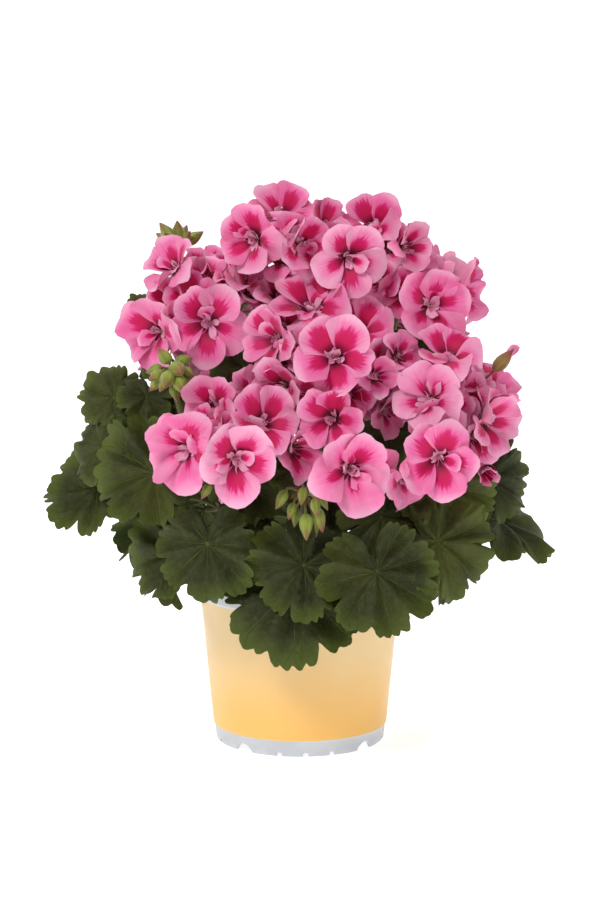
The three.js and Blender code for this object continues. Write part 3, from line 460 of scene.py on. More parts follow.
def bracts(shape, centre, along, tint, size=1.0):
    """Small pointed bracts under a hub."""
    axes = facing_axes(*bearing(along))
    s, t = np.meshgrid(np.linspace(-1, 1, 3), np.linspace(0, 1, 5))
    half = 1.6 * size * (1 - t) ** 0.6 * (0.6 + 0.8 * t)
    for k in range(5):
        radial, lateral = spoke(axes, k / 5 * 2 * math.pi)
        up = 0.4 + 1.2 * size * (t - 1.3 * t**2)
        middle = laid(centre, (radial, 1.8 + 3.4 * size * t), (lateral, half * s), (axes[0], up))
        blade(shape, middle, strip_uvs(s, t), 0.4, tint + 0.25)


# Buds

BUD_AT = [0, 0.06, 0.2, 0.4, 0.6, 0.8, 0.93, 1.0]
BUD_THICK = [0.3, 0.6, 0.92, 1.0, 0.84, 0.5, 0.25, 0.1]


def bud(shape, petals, base, along, length, hub, seed, open_tip, plump):
    """Pointed bud of five ribbed sepals on its thin stalk, with a little of the petals at an open tip."""
    thick = length * plump
    leave = unit(base - hub)
    path = curve(hub + leave * 2, leave, base, along, 8)
    tube(shape, path, np.linspace(0.75, 0.7, 9), 7, 0.95 if open_tip else 0.25 + 0.3 * draw(seed, 5))
    rows, sides = 16, 20
    t = np.linspace(0, 1, rows)
    turn = np.arange(sides) / sides * 2 * math.pi
    across = unit(np.cross(along, vec(0.2, 0.3, 1)))
    other = np.cross(along, across)
    reach = length * (0.86 if open_tip else 1.0)
    hook = across * (0.05 * length * (t**2))[:, None]
    radius = np.interp(t, BUD_AT, BUD_THICK)[:, None] * thick * (1 + 0.07 * np.cos(5 * turn)[None, :])
    ring = np.cos(turn)[None, :, None] * across + np.sin(turn)[None, :, None] * other
    points = base + along * (t * reach)[:, None, None] + hook[:, None, :] + ring * radius[..., None]
    ends = np.array([base - along * 0.3, base + along * (reach + 0.3) + hook[-1]])
    shape.add(
        np.vstack([points.reshape(-1, 3), ends]),
        np.vstack([ring_uvs(turn, t), [[0, 0], [0, 1]]]),
        grid_quads(rows, sides, wrap=True)[..., ::-1],
        end_caps(rows, sides),
        tint=0.95 if open_tip else 0.1 + 0.25 * draw(seed, 6),
        side=1.0,
    )
    if open_tip:
        axes = (along, across, other)
        for k in range(3):
            tip = base + along * length * 0.45
            petaloid(petals, tip, axes, k * 2.1, length * 0.6, 86, 84, seed + k, (0.6, 0.1))


def bud_cluster(name, hub, lean, main, count, spread, reach, length, droop, plump, opened, seed):
    """Hub with its bracts and a spray of buds, of which the first few are open at the tip."""
    node = "bud_cluster_" + name
    shape, tips = Shape(), Shape()
    hub = vec(*hub)
    lean = direction(*lean)
    axes = facing_axes(*main)
    tube(shape, [hub + lean * d for d in (-2.6, -1.3, 0, 1.6, 2.4)], [1.6, 2.4, 2.9, 2.3, 1.3], 12, 0.6)
    bracts(shape, hub - lean * 1.6, lean, 0.72, 1.8)
    for k in range(count):
        out = dome(axes, k, math.radians(spread) * math.sqrt((k + 0.4) / count))
        base = hub + out * reach * (0.7 + 0.5 * draw(seed, k))
        hang = unit(out + vec(0, 0, -droop))
        long = length * (0.75 + 0.4 * draw(seed, k + 20))
        bud(shape, tips, base, hang, long, hub, seed + k, k < opened, plump)
    shape.piece(node + "_buds", bud_material, "buds", node)
    if tips.count:
        tips.piece(node + "_tips", petal_material, "buds", node)


# Leaves and stems

TEETH = 4
LINE_STEPS = 200


def lobe_angles(radius):
    return [-138, -92, -46, 0, 46, 92, 138] if radius >= LARGE_LEAF else [-128, -64, 0, 64, 128]


def lobe_reach(angle):
    return 1 - 0.2 * (angle / 140) ** 2


def leaf_outline(angle, step, last, key):
    """Reach of the rim at each angle: uneven round lobes with narrow notches and scalloped teeth."""
    size = np.abs(angle)
    phase = angle / step
    first, second = wave_shift(key, 4), wave_shift(key, 5)
    within = np.abs(phase - np.round(phase)) * 2
    notch = NOTCH_DEPTH * (1.15 + 0.35 * np.sin(np.radians(angle) * 3.1 + second))
    lobed = lobe_reach(angle) - notch * np.where(size < last, within**5, 0) + 0.03
    lobed = lobed * (1 + 0.035 * np.sin(np.radians(angle) * 2.3 + first))
    base = (np.maximum(0, size - last - step * 0.28)) / (180 - last - step * 0.28)
    lobed = lobed * (1 - 0.88 * base**1.6)
    uneven = TEETH * (phase + 0.5) + 0.3 * np.sin(np.radians(angle) * 5 + second)
    teeth = 1 - np.abs(np.sin(math.pi * uneven)) ** 0.7
    small = 1 - np.abs(np.sin(2 * math.pi * uneven + 0.8)) ** 0.8
    depth = 0.075 + 0.03 * np.sin(np.radians(angle) * 9 + first)
    return lobed * (1 - (depth * teeth + 0.014 * small) * (1 - base))


def leaf_height(angle, reach, dish, fold, droop, step):
    a = np.radians(angle)
    pleat = 0.05 * np.cos(angle / step * 2 * math.pi) * reach
    bend = dish * reach**2 + fold * np.abs(np.sin(a)) * reach
    return bend - pleat - droop * np.maximum(0, np.cos(a)) ** 2 * reach**3


def leaf(leaves, stems, row, start, outward, key):
    """Lobed leaf with scalloped teeth, pleats along its veins and a wavy rim, on its long stalk."""
    x, y, z, azimuth, elevation, roll, radius, dish, fold, droop = row
    centre = vec(x, y, z)
    n, u, v = facing_axes(azimuth, elevation, roll)
    angles = lobe_angles(radius)
    step, last = angles[1] - angles[0], angles[-1]
    columns = len(angles) * TEETH * 7 + 9
    angle = np.linspace(-176, 176, columns)
    share = np.array([0.004, 0.16, 0.32, 0.47, 0.61, 0.74, 0.84, 0.93, 1.0])
    share, angle = np.meshgrid(share, angle, indexing="ij")
    reach = share * leaf_outline(angle, step, last, key)
    height = leaf_height(angle, reach, dish, fold, droop, step)
    a, first, second = np.radians(angle), wave_shift(key, 1), wave_shift(key, 6)
    between = np.sin(angle / step * math.pi) ** 2
    sway = 0.11 * np.sin(2 * a + first) + 0.09 * np.sin(3.3 * a + second) * reach
    ruffle = 0.06 * np.sin(7.4 * a + first + second) * share**4
    ruffle = ruffle + 0.012 * np.sin(angle / step * math.pi * TEETH + first) * share**8
    side_folds = 0.014 * np.sin(share * 15 - 2.4 * between) * between * share
    roll_over = (0.9 * draw(key, 7) - 0.2) * np.maximum(0, share - 0.5) ** 2
    height = height + sway * reach**2 + ruffle + side_folds + 0.06 * (2 * between - 1) * reach - roll_over
    over, aside = np.cos(a) * reach * radius, np.sin(a) * reach * radius
    middle = laid(centre, (u, over), (v, aside), (n, height * radius))
    blade(leaves, middle, np.stack([angle / step, reach], -1), LEAF_THICKNESS, draw(key, 2))
    thick = 1.45 if radius > 20 else 1.1
    path = curve(start, outward, centre - n * 1.0, unit(n + 0.4 * u), 14)
    tube(stems, path, np.linspace(thick, thick * 0.85, 15), 9, 0.15 + 0.35 * draw(key, 3))


def leafy_stem(number, name, at, top, lean, rows, bears):
    """Main stem from its hole in the soil, with its leaves and flower stalks."""
    node = "leafy_stem_" + name
    leaves, stems = Shape(), Shape()
    up = vec(0, 0, 1)
    base = vec(*at, SOIL_TOP_Z - HOLE_DEPTH + CLEARANCE)
    foot = vec(*at, SOIL_TOP_Z + 3)
    top = vec(*top)
    reach = np.linalg.norm(top - foot)
    lean = direction(*lean)

    def line(count):
        return bezier(foot, foot + up * reach * 0.45, top - lean * reach * 0.25, top, count)

    fine = line(LINE_STEPS)
    path = np.vstack([base, line(24)])
    radii = np.linspace(STEM_RADIUS, STEM_RADIUS * 0.7, len(path))
    joints = 1 + 0.12 * np.maximum(0, np.cos(np.arange(len(path)) * 1.3)) ** 4
    tube(stems, path, radii * joints, 14, 0.3)
    for i, row in enumerate(rows):
        start = fine[int(round((0.4 + 0.54 * (i + 0.5) / len(rows)) * LINE_STEPS))]
        outward = unit(vec(row[0] - start[0], row[1] - start[1], 0))
        outward = unit(outward + up * 0.9)
        bend = [] if len(row) > 7 else LEAF_BEND
        leaf(leaves, stems, row + bend, start, outward, number * 31 + i)
    for hub, end_lean, half, leave, level in bears:
        along = direction(*end_lean)
        tip = vec(*hub) - along * (half + CLEARANCE)
        start = fine[int(round(level * LINE_STEPS))]
        path = np.vstack([curve(start, direction(*leave), tip - along * 2.5, along, 14), tip])
        tube(stems, path, np.linspace(1.9, 1.6, 16), 11, 0.3)
    leaves.piece(node + "_leaves", leaf_material, "foliage", node, sharp=75)
    stems.piece(node + "_stems", stem_material, "foliage", node)


# Pot and soil


def around(azimuth, at):
    """Degrees from an azimuth, between -180 and 180."""
    return (azimuth - at + 180) % 360 - 180


def pot():
    """Tapered pot with a stepped rim, a floor with drain holes and a foot ring with arches and slots."""
    shape = Shape()
    columns = 720
    foot_inner = FOOT_RADIUS - 1.8
    rim_z = POT_HEIGHT - 8
    label_top = rim_z - 1.5
    slope = (LABEL_TOP_RADIUS - LABEL_BOTTOM_RADIUS) / (label_top - LABEL_BOTTOM_Z)
    label = [LABEL_BOTTOM_Z + 0.4, *np.linspace(LABEL_BOTTOM_Z + 4, label_top - 0.5, 16), label_top]
    floor_radii = [0.5, 10, 20, 28, *np.linspace(DRAIN_AT - DRAIN_RADIUS, DRAIN_AT + DRAIN_RADIUS, 9), 42]
    foot, rim, low = FOOT_RADIUS, RIM_RADIUS, LABEL_BOTTOM_Z
    outside = [
        *[(r, FLOOR_Z) for r in floor_radii],
        (foot_inner - 0.4, FLOOR_Z - 0.1), (foot_inner, FLOOR_Z - 0.6), (foot_inner, 2.6),
        (foot_inner, 0.4), (foot_inner + 0.4, 0), (foot - 0.4, 0),
        (foot, 0.4), (foot + 0.3, 2.6), (foot + 0.5, 5),
        (foot + 0.8, low - 1.2), (foot + 1.1, low - 0.8), (LABEL_BOTTOM_RADIUS, low - 0.1),
        *[(LABEL_BOTTOM_RADIUS + slope * (z - low), z) for z in label],
        (rim - 1.2, rim_z - 0.4), (rim - 0.8, rim_z), (rim - 0.7, rim_z + 0.6),
        (rim - 0.1, POT_HEIGHT - 0.7), (rim - 0.2, POT_HEIGHT - 0.2), (rim - 0.5, POT_HEIGHT),
    ]
    inside = [
        (rim - WALL, POT_HEIGHT), (rim - WALL - 0.3, POT_HEIGHT - 0.4),
        (LABEL_TOP_RADIUS - WALL + 0.4, rim_z - 0.6), (LABEL_TOP_RADIUS - WALL, label_top),
        (LABEL_BOTTOM_RADIUS - WALL, FLOOR_Z + WALL + 0.4),
        *[(r, FLOOR_Z + WALL) for r in reversed(floor_radii)],
    ]
    profile = np.array(outside + inside)
    rows = len(profile)
    azimuth = np.arange(columns) * 360 / columns
    cut = np.zeros(columns)
    for quarter in range(4):
        run = np.radians(around(azimuth, FOOT_TURN + 45 + quarter * 90)) * FOOT_RADIUS
        cut = np.maximum(cut, np.sqrt(np.maximum(0, 36 - run**2)) - 1.4)
        for at in (-18, 0, 18):
            run = np.radians(around(azimuth, FOOT_TURN + quarter * 90 + at)) * FOOT_RADIUS
            cut = np.where(np.abs(run) < 1.3, 2.2, cut)
    r, z = profile[:, :1], profile[:, 1:]
    in_foot = (r > foot_inner - 1) & (z < 5.2)
    z = np.where(in_foot, np.maximum(z, np.minimum(cut[None, :], 5.1)), z)
    r = np.broadcast_to(r, z.shape).copy()
    turn = np.radians(np.broadcast_to(azimuth, z.shape)).copy()
    quads = grid_quads(rows, columns, wrap=True)[..., ::-1]
    keep = np.ones((rows - 1, columns), bool)
    walls = []
    for quarter in range(4):
        walls += drain_hole(r, turn, profile, keep, azimuth, FOOT_TURN + 45 + quarter * 90)
    points = np.stack([r * np.sin(turn), -r * np.cos(turn), z], -1).reshape(-1, 3)
    uvs = np.stack(np.broadcast_arrays(azimuth[None, :] / 360, z / POT_HEIGHT), -1).reshape(-1, 2)
    inner_side = np.repeat(np.arange(rows) >= len(outside), columns)
    shape.add(points, uvs, np.vstack([quads[keep], walls]), side=inner_side.astype(float))
    shape.piece("pot_shell", pot_material, "pot_plastic", "pot", sharp=40)


def drain_hole(r, turn, profile, keep, azimuth, at):
    """Opens a round hole through both faces of the pot's floor, and gives the quads of its wall."""
    columns = len(azimuth)
    middle = int(round(at / 360 * columns))
    half = 5
    loops = []
    for level in (FLOOR_Z, FLOOR_Z + WALL):
        near = np.abs(profile[:, 0] - DRAIN_AT) < DRAIN_RADIUS + 0.01
        rows = np.flatnonzero(near & (profile[:, 1] == level))
        rows = rows[np.argsort(profile[rows, 0])]
        keep[rows.min() : rows.max(), middle - half : middle + half] = False
        ring = [(rows[0], c) for c in range(-half, half)] + [(i, half) for i in rows[:-1]]
        ring += [(rows[-1], c) for c in range(half, -half, -1)] + [(i, -half) for i in rows[:0:-1]]
        for i, c in ring:
            bearing = math.atan2(c / half, (profile[i, 0] - DRAIN_AT) / DRAIN_RADIUS)
            r[i, middle + c] = DRAIN_AT + DRAIN_RADIUS * math.cos(bearing)
            turn[i, middle + c] = math.radians(at) + DRAIN_RADIUS * math.sin(bearing) / DRAIN_AT
        loops.append([i * columns + middle + c for i, c in ring])
    low, high = loops
    after = list(range(1, len(low))) + [0]
    return [[low[k], high[k], high[j], low[j]] for k, j in enumerate(after)]


def soil():
    """Crumbly mounded top over the plug that fills the pot, with a hole for each stem."""
    shape = Shape()
    bottom = FLOOR_Z + WALL + CLEARANCE
    low, high = FLOOR_Z + WALL, POT_HEIGHT - 9.5

    wider = LABEL_TOP_RADIUS - LABEL_BOTTOM_RADIUS

    def inner(z):
        share = (z - low) / (high - low)
        return LABEL_BOTTOM_RADIUS + wider * share - WALL - CLEARANCE - 0.3

    columns = 260
    rings = np.linspace(inner(SOIL_TOP_Z) - 1, 0.4, 80)
    heights = SOIL_TOP_Z - 0.5 + 2.5 * (1 - rings / rings[0])
    radii = np.concatenate([[0.4, inner(bottom), inner(SOIL_TOP_Z - 2)], rings])
    z = np.concatenate([[bottom, bottom, SOIL_TOP_Z - 2], heights])
    a = np.arange(columns) / columns * 2 * math.pi
    x, y = radii[:, None] * np.sin(a), -radii[:, None] * np.cos(a)
    crumb = np.sin(x * 0.9 + 2 * np.sin(y * 0.7)) * np.sin(y * 1.1 + 2 * np.sin(x * 0.6))
    crumb = crumb + 0.6 * np.sin(x * 2.7 + y * 1.9) * np.sin(y * 2.9 - x)
    on_top = (np.arange(len(radii)) > 3)[:, None]
    z = z[:, None] + np.where(on_top, 0.55, 0) * crumb
    for _, foot, *_ in STEM_TABLE:
        near = np.hypot(x - foot[0], y - foot[1]) < STEM_RADIUS + 0.9
        z = np.where(near & on_top, SOIL_TOP_Z - HOLE_DEPTH - 0.3, z)
    points = np.stack([x, y, z], -1)
    uvs = np.stack([x / 10, y / 10], -1)
    quads = grid_quads(len(radii), columns, wrap=True)[..., ::-1]
    shape.add(points.reshape(-1, 3), uvs.reshape(-1, 2), quads)
    shape.piece("soil_plug", soil_material, "soil", "soil")


# Materials


def colour(code):
    """Linear colour of a hex code."""
    values = [int(code[i : i + 2], 16) / 255 for i in (1, 3, 5)]
    return [*[c / 12.92 if c <= 0.04045 else ((c + 0.055) / 1.055) ** 2.4 for c in values], 1]


class Nodes:
    """Short names for the nodes of one material."""

    def __init__(self, name):
        self.material = bpy.data.materials.new(name)
        self.material.use_nodes = True
        self.tree = self.material.node_tree
        self.shader = self.tree.nodes["Principled BSDF"]

    def put(self, kind, inputs=(), **settings):
        node = self.tree.nodes.new(kind)
        for key, value in settings.items():
            setattr(node, key, value)
        for key, value in dict(inputs).items():
            self.set(node.inputs[key], value)
        return node

    def set(self, socket, value):
        if isinstance(value, str):
            value = colour(value)
        if isinstance(value, bpy.types.NodeSocket):
            self.tree.links.new(value, socket)
        else:
            socket.default_value = value

    def math(self, operation, a, b=0.0, clamp=False):
        return self.put("ShaderNodeMath", {0: a, 1: b}, operation=operation, use_clamp=clamp).outputs[0]

    def times(self, a, b, clamp=False):
        return self.math("MULTIPLY", a, b, clamp)

    def plus(self, a, b, clamp=False):
        return self.math("ADD", a, b, clamp)

    def minus(self, a, b):
        return self.math("SUBTRACT", a, b)

    def size(self, a):
        return self.math("ABSOLUTE", a)

    def smooth(self, value, low, high, start=0.0, stop=1.0):
        inputs = {"Value": value, "From Min": low, "From Max": high, "To Min": start, "To Max": stop}
        return self.put("ShaderNodeMapRange", inputs, interpolation_type="SMOOTHSTEP").outputs[0]

    def mix(self, share, a, b):
        node = self.put("ShaderNodeMix", data_type="RGBA")
        for socket, value in ((0, share), (6, a), (7, b)):
            self.set(node.inputs[socket], value)
        return node.outputs[2]

    def noise(self, vector, scale, detail=3.0, rough=0.55, distort=0.0):
        inputs = {"Vector": vector, "Scale": scale, "Detail": detail, "Roughness": rough}
        inputs["Distortion"] = distort
        return self.put("ShaderNodeTexNoise", inputs).outputs["Fac"]

    def attribute(self, name):
        return self.put("ShaderNodeAttribute", attribute_name=name).outputs["Fac"]

    def uv(self):
        place = self.put("ShaderNodeUVMap", uv_map="UVMap").outputs[0]
        node = self.put("ShaderNodeSeparateXYZ", {0: place})
        return node.outputs[0], node.outputs[1]

    def place(self):
        return self.put("ShaderNodeTexCoord").outputs["Object"]

    def vector(self, x, y, z=0.0):
        return self.put("ShaderNodeCombineXYZ", {0: x, 1: y, 2: z}).outputs[0]

    def bump(self, height, strength, distance):
        inputs = {"Height": height, "Strength": strength, "Distance": distance}
        self.set(self.shader.inputs["Normal"], self.put("ShaderNodeBump", inputs).outputs[0])

    def finish(self, base, rough, shine=0.5, sheen=0.0):
        inputs = {"Base Color": base, "Roughness": rough, "Specular IOR Level": shine}
        if sheen:
            inputs.update({"Sheen Weight": sheen, "Sheen Roughness": 0.4})
        for key, value in inputs.items():
            self.set(self.shader.inputs[key], value)
        return self.material


def make_leaf_material():
    m = Nodes("leaf")
    across, reach = m.uv()
    tint, side = m.attribute("tint"), m.attribute("side")
    place = m.place()
    lobe = m.minus(m.math("FRACT", m.plus(across, 10.5)), 0.5)
    away = m.times(m.times(m.size(lobe), reach), 0.8)
    wander = m.times(m.minus(m.noise(place, 160.0, 2.0), 0.5), 0.05)
    away = m.plus(away, m.times(wander, 0.5))
    main_vein = m.smooth(away, 0.002, 0.014, 1.0, 0.0)
    main_vein = m.times(main_vein, m.smooth(reach, 0.1, 0.95, 1.0, 0.4))
    branch = m.minus(m.plus(reach, wander), m.times(away, 1.9))
    branch = m.size(m.minus(m.math("FRACT", m.times(branch, 4.6)), 0.5))
    fine_vein = m.smooth(branch, 0.0, 0.06, 0.6, 0.0)
    fine_vein = m.times(fine_vein, m.smooth(away, 0.05, 0.22, 1.0, 0.25))
    veins = m.math("MAXIMUM", main_vein, fine_vein)
    patches = m.noise(place, 38.0, 4.0)
    grain = m.noise(place, 900.0, 2.0)
    net = m.noise(place, 320.0, 3.0, 0.6)
    deep = m.mix(tint, "#23260e", "#303412")
    fresh = m.mix(tint, "#34381a", "#4c511f")
    blade_colour = m.mix(m.smooth(patches, 0.35, 0.7), deep, fresh)
    blade_colour = m.mix(m.smooth(net, 0.45, 0.75, 0.0, 0.3), blade_colour, "#525e26")
    # Painted light: the blade turns a lighter, brighter green towards its rim, as if the edges catch the
    # light
    rim = m.smooth(reach, 0.6, 1.0, 0.0, 0.45)
    blade_colour = m.mix(rim, blade_colour, "#5c6c24")
    blade_colour = m.mix(m.times(veins, 0.32), blade_colour, "#75823c")
    under = m.mix(m.times(veins, 0.6), "#4b5830", "#77844c")
    relief = m.minus(m.times(net, 0.8), veins)
    m.bump(m.plus(relief, m.times(grain, 0.2)), 0.7, 0.001)
    rough = m.smooth(grain, 0.2, 0.8, 0.5, 0.66)
    return m.finish(m.mix(side, blade_colour, under), rough, 0.2)


def make_petal_material():
    m = Nodes("petal")
    across, along = m.uv()
    tint, side, mark = m.attribute("tint"), m.attribute("side"), m.attribute("mark")
    offset = m.times(tint, 37.0)
    fine = m.vector(m.times(across, 22.0), m.times(along, 1.8), offset)
    streaks = m.noise(fine, 1.0, 3.0, 0.6)
    lines = m.noise(m.vector(m.times(across, 60.0), m.times(along, 1.6), offset), 1.0, 2.0)
    broad = m.noise(m.vector(across, along, offset), 2.4, 3.0)
    off_middle = m.times(m.minus(across, 0.5), 2.0)
    narrowing = m.times(m.times(off_middle, off_middle), 0.8)
    reach = m.plus(mark, m.times(m.minus(streaks, 0.5), 0.42))
    reach = m.minus(m.plus(reach, m.times(broad, 0.14)), narrowing)
    beyond = m.minus(along, reach)
    blotch = m.smooth(beyond, -0.1, 0.035, 1.0, 0.0)
    flush = m.smooth(beyond, -0.05, 0.3, 0.6, 0.0)
    pink = m.mix(m.smooth(broad, 0.3, 0.7), "#e66aa2", "#e68ab3")
    pink = m.mix(m.smooth(tint, 0.3, 0.95, 0.0, 0.75), pink, "#e7abc5")
    pink = m.mix(m.smooth(lines, 0.5, 0.75, 0.0, 0.25), pink, "#db5390")
    pink = m.mix(flush, pink, "#e04890")
    # Painted highlight: the petal turns paler pink towards its rim, where light catches the edges
    pink = m.mix(m.smooth(along, 0.74, 1.0, 0.0, 0.65), pink, "#e9b4cb")
    crimson = m.mix(m.smooth(along, 0.12, 0.42), "#6e042e", "#c0064f")
    crimson = m.mix(m.smooth(beyond, -0.25, 0.0, 0.0, 0.7), crimson, "#d62078")
    front = m.mix(blotch, pink, crimson)
    back = m.mix(m.times(blotch, 0.3), m.mix(0.35, pink, "#f6bbd3"), "#c93a78")
    threads = m.smooth(tint, 0.93, 0.97)
    thread = m.mix(m.smooth(along, 0.36, 0.46), "#eebccb", "#a04464")
    m.bump(m.plus(lines, m.times(streaks, 0.5)), 0.3, 0.0004)
    return m.finish(m.mix(threads, m.mix(side, front, back), thread), 0.55, 0.25, 0.2)


def make_stem_material(name, green, pale, red):
    m = Nodes(name)
    tint = m.attribute("tint")
    place = m.place()
    patches = m.noise(place, 70.0, 3.0)
    hairs = m.noise(place, 1500.0, 2.0, 0.7)
    base = m.mix(m.smooth(patches, 0.3, 0.7), green, pale)
    share = m.times(tint, m.smooth(patches, 0.2, 0.75, 0.5, 1.1), clamp=True)
    m.bump(hairs, 0.4, 0.0004)
    return m.finish(m.mix(share, base, red), m.smooth(hairs, 0.2, 0.8, 0.5, 0.7), 0.35, 0.3)


def make_bud_material():
    m = Nodes("bud")
    across, along = m.uv()
    tint, side = m.attribute("tint"), m.attribute("side")
    place = m.place()
    patches = m.noise(place, 120.0, 3.0)
    hairs = m.noise(place, 1700.0, 2.0, 0.7)
    ribs = m.size(m.math("SINE", m.times(across, 15.708)))
    green = m.mix(m.smooth(patches, 0.3, 0.7), "#667522", "#8d9c32")
    green = m.mix(m.smooth(ribs, 0.75, 1.0, 0.0, 0.35), green, "#a5ae5a")
    red = m.times(m.smooth(along, 0.5, 0.95, 0.0, 0.95), m.smooth(patches, 0.35, 0.6, 0.5, 1.0))
    sepal = m.mix(m.plus(red, m.smooth(tint, 0.1, 0.95, 0.0, 0.6), clamp=True), green, "#8a4a35")
    stalk = m.mix(tint, "#6f7a35", "#7c4a34")
    m.bump(m.plus(hairs, ribs), 0.5, 0.0004)
    return m.finish(m.mix(side, stalk, sepal), m.smooth(hairs, 0.2, 0.8, 0.45, 0.65), 0.4, 0.35)


def make_pot_material():
    m = Nodes("pot_plastic")
    height = m.uv()[1]
    place = m.place()
    label = m.mix(m.smooth(height, 0.12, 0.8), "#f8c168", "#efd19c")
    mottle = m.noise(place, 30.0, 4.0)
    label = m.mix(m.smooth(mottle, 0.4, 0.7, 0.0, 0.12), label, "#e9b25d")
    plastic = m.mix(m.smooth(mottle, 0.3, 0.7), "#bfc2c8", "#cfd2d6")
    z = POT_HEIGHT
    low = m.smooth(height, (LABEL_BOTTOM_Z - 0.25) / z, (LABEL_BOTTOM_Z + 0.15) / z)
    high = m.smooth(height, (z - 9.9) / z, (z - 9.5) / z, 1.0, 0.0)
    printed = m.times(m.times(low, high), m.minus(1.0, m.attribute("side")))
    fine = m.noise(place, 700.0, 2.0)
    m.bump(fine, 0.12, 0.0002)
    rough = m.smooth(m.noise(place, 60.0, 4.0), 0.3, 0.7, 0.34, 0.46)
    return m.finish(m.mix(printed, plastic, label), rough, 0.45)


def make_soil_material():
    m = Nodes("soil")
    place = m.place()
    lumps = m.noise(place, 260.0, 6.0, 0.7)
    fibres = m.noise(place, 90.0, 4.0, 0.6, 2.5)
    dark = m.mix(m.smooth(lumps, 0.35, 0.7), "#1d130c", "#4a3423")
    m.bump(lumps, 0.9, 0.0015)
    return m.finish(m.mix(m.smooth(fibres, 0.6, 0.72, 0.0, 0.6), dark, "#6b4f36"), 0.92, 0.2)


leaf_material = make_leaf_material()
petal_material = make_petal_material()
stem_material = make_stem_material("stem", "#4c5a2a", "#6d7d3c", "#6b4630")
stalk_material = make_stem_material("flower_stalk", "#6a7638", "#87954a", "#6e2f2a")
bud_material = make_bud_material()
pot_material = make_pot_material()
soil_material = make_soil_material()


# Tables: places and sizes as in the part's source. How red stalks are, the florets for gaps, plumpness and
# open buds are for the looks alone

